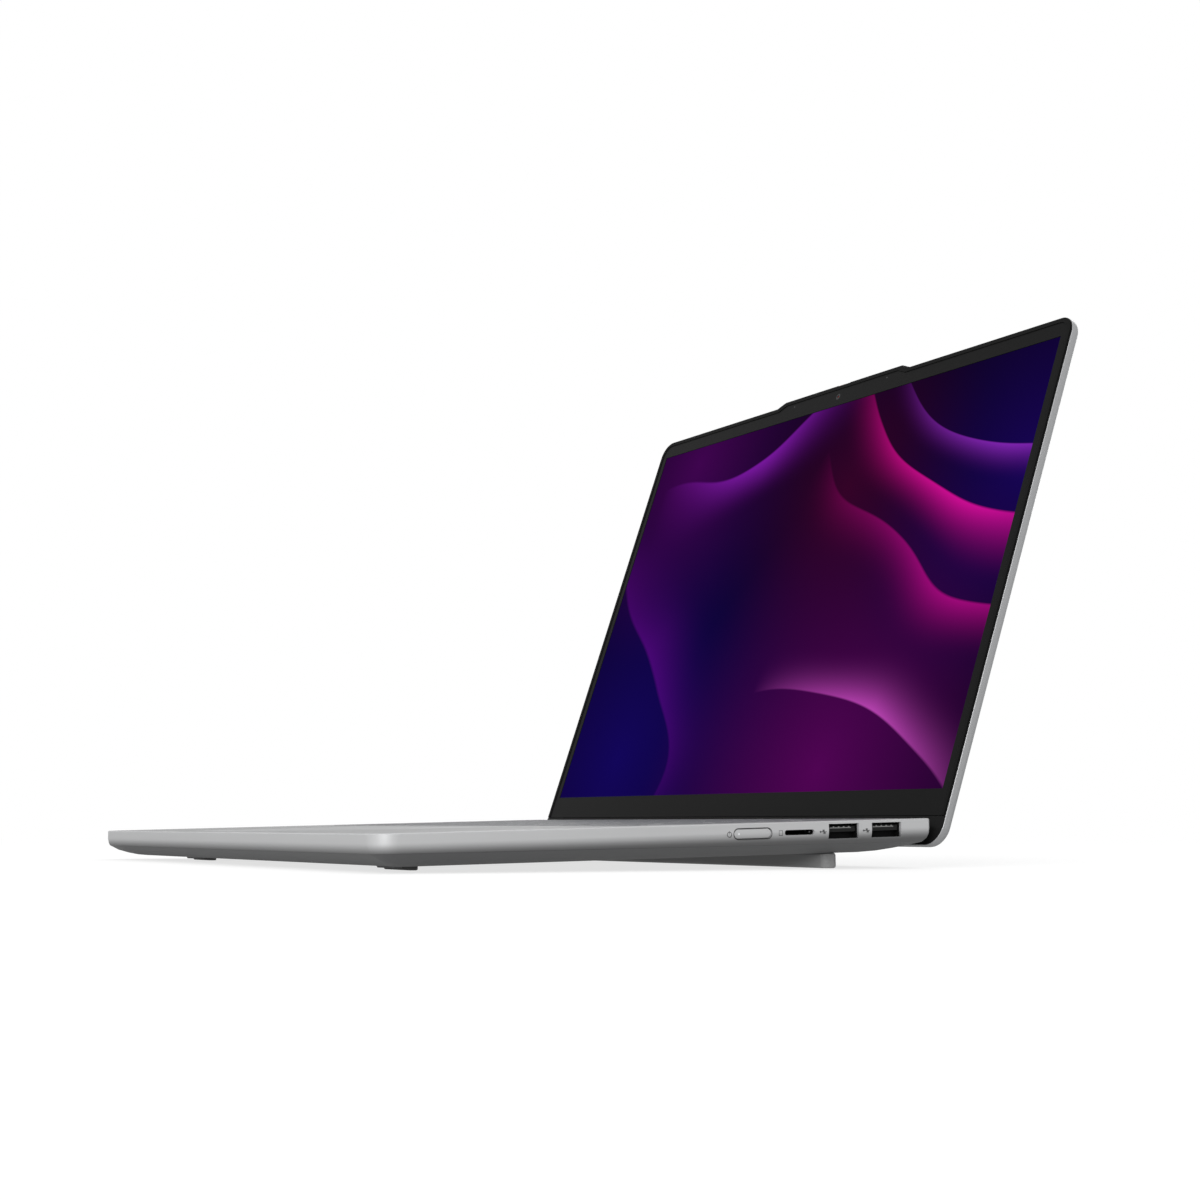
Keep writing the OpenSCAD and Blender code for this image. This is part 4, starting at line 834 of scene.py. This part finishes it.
def buildSocketLinings():  # black moulding inside each USB-A shell, its tongue and contacts
    linings, tongues = bmesh.new(), bmesh.new()
    contacts = []
    z, halfW, halfH = ports["usbZ"], ports["usbWidth"] / 2, ports["usbHeight"] / 2
    wide, tall = halfW - lining["clearance"], halfH - lining["clearance"]
    line = z + contact["rise"]
    tip = boxMesh((portX - contact["tipBack"], -contact["tipHalf"], line),
                  (portX - contact["tipFront"], contact["tipHalf"], line + contact["tipHeight"]))
    bar = boxMesh((portX - contact["barBack"], -contact["barHalf"], line + contact["barLow"]),
                  (portX - contact["barFront"], contact["barHalf"], line + contact["barHigh"]))
    for index in range(2):
        y = laptop["depth"] - ports["usbBack"] - index * ports["usbPitch"]
        addBox(linings, (portX - lining["back"], y - wide, z - tall),
               (portX - lining["lowFront"], y + wide, z + lining["splitLow"]))
        addBox(linings, (portX - lining["back"], y - wide, z + lining["splitHigh"]),
               (portX - lining["highFront"], y + wide, z + tall))
        for side in (-1, 1):
            middle = y + side * (halfW - lining["sideInset"])
            addBox(linings, (portX - lining["wallBack"], middle - lining["sideHalf"], z - tall),
                   (portX - lining["wallFront"], middle + lining["sideHalf"], z + tall))
        reach = halfW - lining["edgeStop"]
        for edge in (-1, 1):
            middle = z + edge * (halfH - lining["edgeInset"])
            addBox(linings, (portX - lining["wallBack"], y - reach, middle - lining["edgeHalf"]),
                   (portX - lining["wallFront"], y + reach, middle + lining["edgeHalf"]))
        reach = halfW - lining["tongueStop"]
        addBox(tongues, (portX - lining["lowFront"], y - reach, z + lining["tongueLow"]),
               (portX - lining["tongueFront"], y + reach, z + lining["tongueHigh"]))
        first = y - (contact["count"] - 1) / 2 * contact["pitch"]
        contacts.append((tip.copy(), contact["count"], (0, first, 0), (0, contact["pitch"], 0)))
        contacts.append((bar.copy(), 1, (0, y + contact["barShift"], 0), (0, 0, 0)))
    makePiece("usbLinings", meshFrom("usbLinings", linings, deckPlace), "base", socketBlack)
    makePiece("usbTongues", meshFrom("usbTongues", tongues, deckPlace), "base", tongueBlack,
              bevel=lining["tongueBevel"])
    makePiece("usbContacts", repeatedMesh("usbContacts", contacts, deckPlace, contactPale), "base",
              contactPale)


latch = {"back": 3.0, "front": 0.15, "rear": 1.0, "length": 0.6, "low": -0.3, "high": 0.35, "bevel": 0.08}


def buildCardSlot():  # black mouth with a small latch at its rear end
    makePiece("cardReader", mergedCopy("card_reader", "cardReader"), "base", socketBlack,
              ["card_reader"])
    bm = bmesh.new()
    rear = laptop["depth"] - ports["cardBack"] + ports["cardLength"] / 2 - latch["rear"]
    addBox(bm, (portX - latch["back"], rear - latch["length"], ports["cardZ"] + latch["low"]),
           (portX - latch["front"], rear, ports["cardZ"] + latch["high"]))
    makePiece("cardLatch", meshFrom("cardLatch", bm, deckPlace), "base", screwSteel,
              bevel=latch["bevel"])


printed = {"low": -0.02, "high": 0.01}  # from just inside the side to just outside
marks = {"y": -3.7, "usbAside": 8.8, "dotAside": 1.35, "dotRadius": 0.36, "cardAside": 8.0, "powerAside": 9.6,
         "powerInner": 0.75, "powerOuter": 0.98}
usbBars = (((-1.3, -0.11), (1.3, 0.11)), ((-0.5, 0.11), (0.4, 0.75)), ((-0.1, -0.7), (0.8, -0.11)))
cardBars = (((-0.8, -0.9), (0.8, -0.72)), ((-0.8, 0.72), (0.8, 0.9)), ((-0.8, -0.72), (-0.62, 0.72)),
            ((0.62, -0.72), (0.8, 0.72)))
powerBars = (((-0.09, 0.1), (0.09, 1.2)),)


def addBars(bm, x, bars):  # a sign's bars, by their corners about its middle
    for low, high in bars:
        addBox(bm, (x + low[0], marks["y"] + low[1], printed["low"]),
               (x + high[0], marks["y"] + high[1], printed["high"]))


def buildSideMarks():  # plain signs printed beside the openings
    bm = bmesh.new()
    for index in range(2):
        x = laptop["depth"] - ports["usbBack"] - index * ports["usbPitch"] - marks["usbAside"]
        addBars(bm, x, usbBars)
        addRing(bm, (x - marks["dotAside"], marks["y"]), 0.0, marks["dotRadius"], *printed.values(), 16)
    addBars(bm, laptop["depth"] - ports["cardBack"] - marks["cardAside"], cardBars)
    x = laptop["depth"] - ports["powerBack"] - marks["powerAside"]
    addRing(bm, (x, marks["y"]), marks["powerInner"], marks["powerOuter"], *printed.values())
    addBars(bm, x, powerBars)
    makePiece("sideMarks", meshFrom("sideMarks", bm, sidePlace), "base", markGrey)


powerLamp = {"aside": 1.9, "radius": 0.36, "low": -0.3, "high": -0.07}


def buildPowerLamp():
    bm = bmesh.new()
    x = laptop["depth"] - ports["powerBack"] - ports["powerLength"] / 2 + powerLamp["aside"]
    addRing(bm, (x, ports["powerZ"]), 0.0, powerLamp["radius"], powerLamp["low"], powerLamp["high"], 20)
    makePiece("powerLamp", meshFrom("powerLamp", bm, sidePlace), "power", lampGlass)


def pillOutline(length, height, x, y, steps=12):
    points = []
    for start in (-90, 90):
        side = 1 if start < 0 else -1
        for step in range(steps + 1):
            angle = math.radians(start + 180 * step / steps)
            points.append((x + side * (length - height) / 2 + height / 2 * math.cos(angle),
                           y + height / 2 * math.sin(angle)))
    return points


seam = {"inner": 0.26, "outer": 0.72}  # past the button's length and height


def buildPowerSeam():  # dark joint line round the button's opening
    bm = bmesh.new()
    x, y = laptop["depth"] - ports["powerBack"], ports["powerZ"]
    outlines = [pillOutline(ports["powerLength"] + grow, ports["powerHeight"] + grow, x, y)
                for grow in (seam["outer"], seam["inner"])]
    low, high = printed["low"], printed["high"]
    rings = [[(*point, z) for point in outlines[index]]
             for index, z in ((0, low), (0, high), (1, high), (1, low), (0, low))]
    loft(bm, rings, closed=False)
    bmesh.ops.remove_doubles(bm, verts=bm.verts, dist=skin["weld"])
    makePiece("powerSeam", meshFrom("powerSeam", bm, sidePlace), "base", seamGrey)


buildSocketLinings()
buildCardSlot()
buildSideMarks()
buildPowerLamp()
buildPowerSeam()
print("ports fitted")


# ---- camera in the lid, screws ----

lidCamera = {"y": 210.3, "window": 1.5, "pupil": 0.6, "micAside": 36.0, "micRise": 2.0, "micHole": 0.35,
             "sunk": 0.02, "drop": 0.06, "clearance": 0.01}


def buildLidCamera():
    face, sunk, clearance = laptop["bezelFace"], lidCamera["sunk"], lidCamera["clearance"]
    back, front = face - laptop["bezelThickness"] + sunk, face - lidCamera["drop"]
    bm = bmesh.new()
    addRing(bm, (0, lidCamera["y"]), lidCamera["pupil"], lidCamera["window"] - clearance, back, front, 40)
    makePiece("cameraRing", meshFrom("cameraRing", bm, lidPlace), "lid", lensGlass)
    # dark discs on the bezel stand for the microphone holes: painted shade of the holes
    bm = bmesh.new()
    addRing(bm, (0, 0), 0.0, lidCamera["micHole"], face - sunk, face + clearance, 12)
    hole = meshFrom("hole", bm)
    aside = lidCamera["micAside"]
    runs = [(hole, 2, (-aside, lidCamera["y"] + lidCamera["micRise"], 0), (2 * aside, 0, 0))]
    makePiece("microphoneHoles", repeatedMesh("microphoneHoles", runs, lidPlace, blackPlasticAndHoleShade), "lid",
              blackPlasticAndHoleShade)


screws = {"depth": 0.05, "proud": 0.03, "sunk": 0.02, "socket": 1.0, "front": 18.5,
          "frontAside": (84.0, 125.0), "rear": 96.1, "rearAside": (85.0, 135.0), "hingeBack": 23.5,
          "hingeAside": 110.0}


def buildScrewSockets():  # painted shade: thin dark six-sided plates that stand for the shaded sockets in the screw heads
    bm = bmesh.new()
    addRing(bm, (0, 0), 0.0, screws["socket"], screws["depth"] - screws["proud"],
            screws["depth"] + screws["sunk"], 6)
    socket = meshFrom("socket", bm)
    rows = [(x, screws["front"]) for x in screws["frontAside"]]
    rows += [(x, screws["rear"]) for x in screws["rearAside"]]
    rows.append((screws["hingeAside"], rearWall - screws["hingeBack"]))
    runs = [(socket.copy(), 2, (-x, y, 0), (2 * x, 0, 0)) for x, y in rows]
    makePiece("screwSockets", repeatedMesh("screwSockets", runs, bellyPlace, blackPlasticAndHoleShade), "base",
              blackPlasticAndHoleShade)


buildLidCamera()
buildScrewSockets()
print("camera and screws fitted")


# ---- floor, background and lamps ----

studio = {"size": 12.0, "drop": 0.0002, "tone": (0.35, 0.35, 0.35), "fadeFrom": 0.35, "fadeTo": 1.1,
          "lift": 0.72, "bounce": 0.25, "fill": 0.42}


def anyRay(tree, *kinds):  # 1 for a ray of one of these kinds, 0 for others
    paths = tree.nodes.new("ShaderNodeLightPath")
    found = paths.outputs[kinds[0]]
    for kind in kinds[1:]:
        found = mathNode(tree, "MAXIMUM", found, paths.outputs[kind])
    return found


def buildFloor():
    bm = bmesh.new()
    size = studio["size"]
    for x, y in ((-size, -size), (size, -size), (size, size), (-size, size)):
        bm.verts.new((x, y, -studio["drop"]))
    bm.faces.new(bm.verts)
    mesh = meshFrom("floor", bm)
    if mesh.polygons[0].normal.z < 0:
        mesh.flip_normals()
    floor = bpy.data.objects.new("floor", mesh)
    bpy.context.collection.objects.link(floor)
    material = bpy.data.materials.new("paleFloor")
    material.use_nodes = True
    tree = material.node_tree
    shader = tree.nodes["Principled BSDF"]
    setInputs(shader, {"Base Color": (*studio["tone"], 1), "Roughness": 0.9, "Specular IOR Level": 0.0})
    seen = anyRay(tree, "Is Camera Ray", "Is Glossy Ray", "Is Transmission Ray")
    glow = tree.nodes.new("ShaderNodeEmission")
    near = anyRay(tree, "Is Camera Ray", "Is Transmission Ray")
    bounced = mathNode(tree, "MULTIPLY", mathNode(tree, "SUBTRACT", 1.0, near), studio["bounce"])
    lift = mathNode(tree, "ADD", mathNode(tree, "MULTIPLY", near, studio["lift"]), bounced)
    tree.links.new(lift, glow.inputs["Strength"])
    both = tree.nodes.new("ShaderNodeAddShader")
    tree.links.new(shader.outputs[0], both.inputs[0])
    tree.links.new(glow.outputs[0], both.inputs[1])
    spot = tree.nodes.new("ShaderNodeTexCoord").outputs["Object"]
    reach = tree.nodes.new("ShaderNodeVectorMath")
    reach.operation = "LENGTH"
    tree.links.new(spot, reach.inputs[0])
    far = tree.nodes.new("ShaderNodeMapRange")
    far.interpolation_type = "SMOOTHSTEP"
    setInputs(far, {"From Min": studio["fadeFrom"], "From Max": studio["fadeTo"]})
    tree.links.new(reach.outputs["Value"], far.inputs["Value"])
    backdrop = tree.nodes.new("ShaderNodeEmission")
    setInputs(backdrop, {"Strength": 1.0})
    fading = tree.nodes.new("ShaderNodeMixShader")
    tree.links.new(mathNode(tree, "MULTIPLY", far.outputs["Result"], seen), fading.inputs[0])
    tree.links.new(both.outputs[0], fading.inputs[1])
    tree.links.new(backdrop.outputs[0], fading.inputs[2])
    tree.links.new(fading.outputs[0], tree.nodes["Material Output"].inputs["Surface"])
    mesh.materials.append(material)


def buildWorld():
    world = bpy.data.worlds.new("studio")
    bpy.context.scene.world = world
    world.use_nodes = True
    tree = world.node_tree
    tree.nodes.clear()
    seen = anyRay(tree, "Is Camera Ray", "Is Glossy Ray", "Is Transmission Ray")
    fill = tree.nodes.new("ShaderNodeBackground")
    setInputs(fill, {"Color": (1, 1, 1, 1), "Strength": studio["fill"]})
    white = tree.nodes.new("ShaderNodeBackground")
    setInputs(white, {"Color": (1, 1, 1, 1), "Strength": 1.0})
    mix = tree.nodes.new("ShaderNodeMixShader")
    tree.links.new(seen, mix.inputs[0])
    tree.links.new(fill.outputs[0], mix.inputs[1])
    tree.links.new(white.outputs[0], mix.inputs[2])
    end = tree.nodes.new("ShaderNodeOutputWorld")
    tree.links.new(mix.outputs[0], end.inputs["Surface"])


lamps = {
    "topLamp": {"place": (0.1, -0.1, 1.4), "aim": (0, 0, 0.05), "size": 1.6, "power": 3.5},
    "frontLamp": {"place": (1.3, -1.3, 0.6), "aim": (0, 0, 0.05), "size": 0.9, "power": 24.0},
    "rearLamp": {"place": (-0.9, 1.1, 0.8), "aim": (0, 0, 0.1), "size": 1.2, "power": 12.0},
}


def buildLamps():
    for name, choice in lamps.items():
        data = bpy.data.lights.new(name, "AREA")
        data.size = choice["size"]
        data.energy = choice["power"]
        lamp = bpy.data.objects.new(name, data)
        lamp.location = choice["place"]
        lamp.rotation_euler = (Vector(choice["aim"]) - lamp.location).to_track_quat("-Z", "Y").to_euler()
        bpy.context.collection.objects.link(lamp)


buildFloor()
buildWorld()
buildLamps()
bpy.context.scene.view_settings.view_transform = "Standard"
print("stage lit")
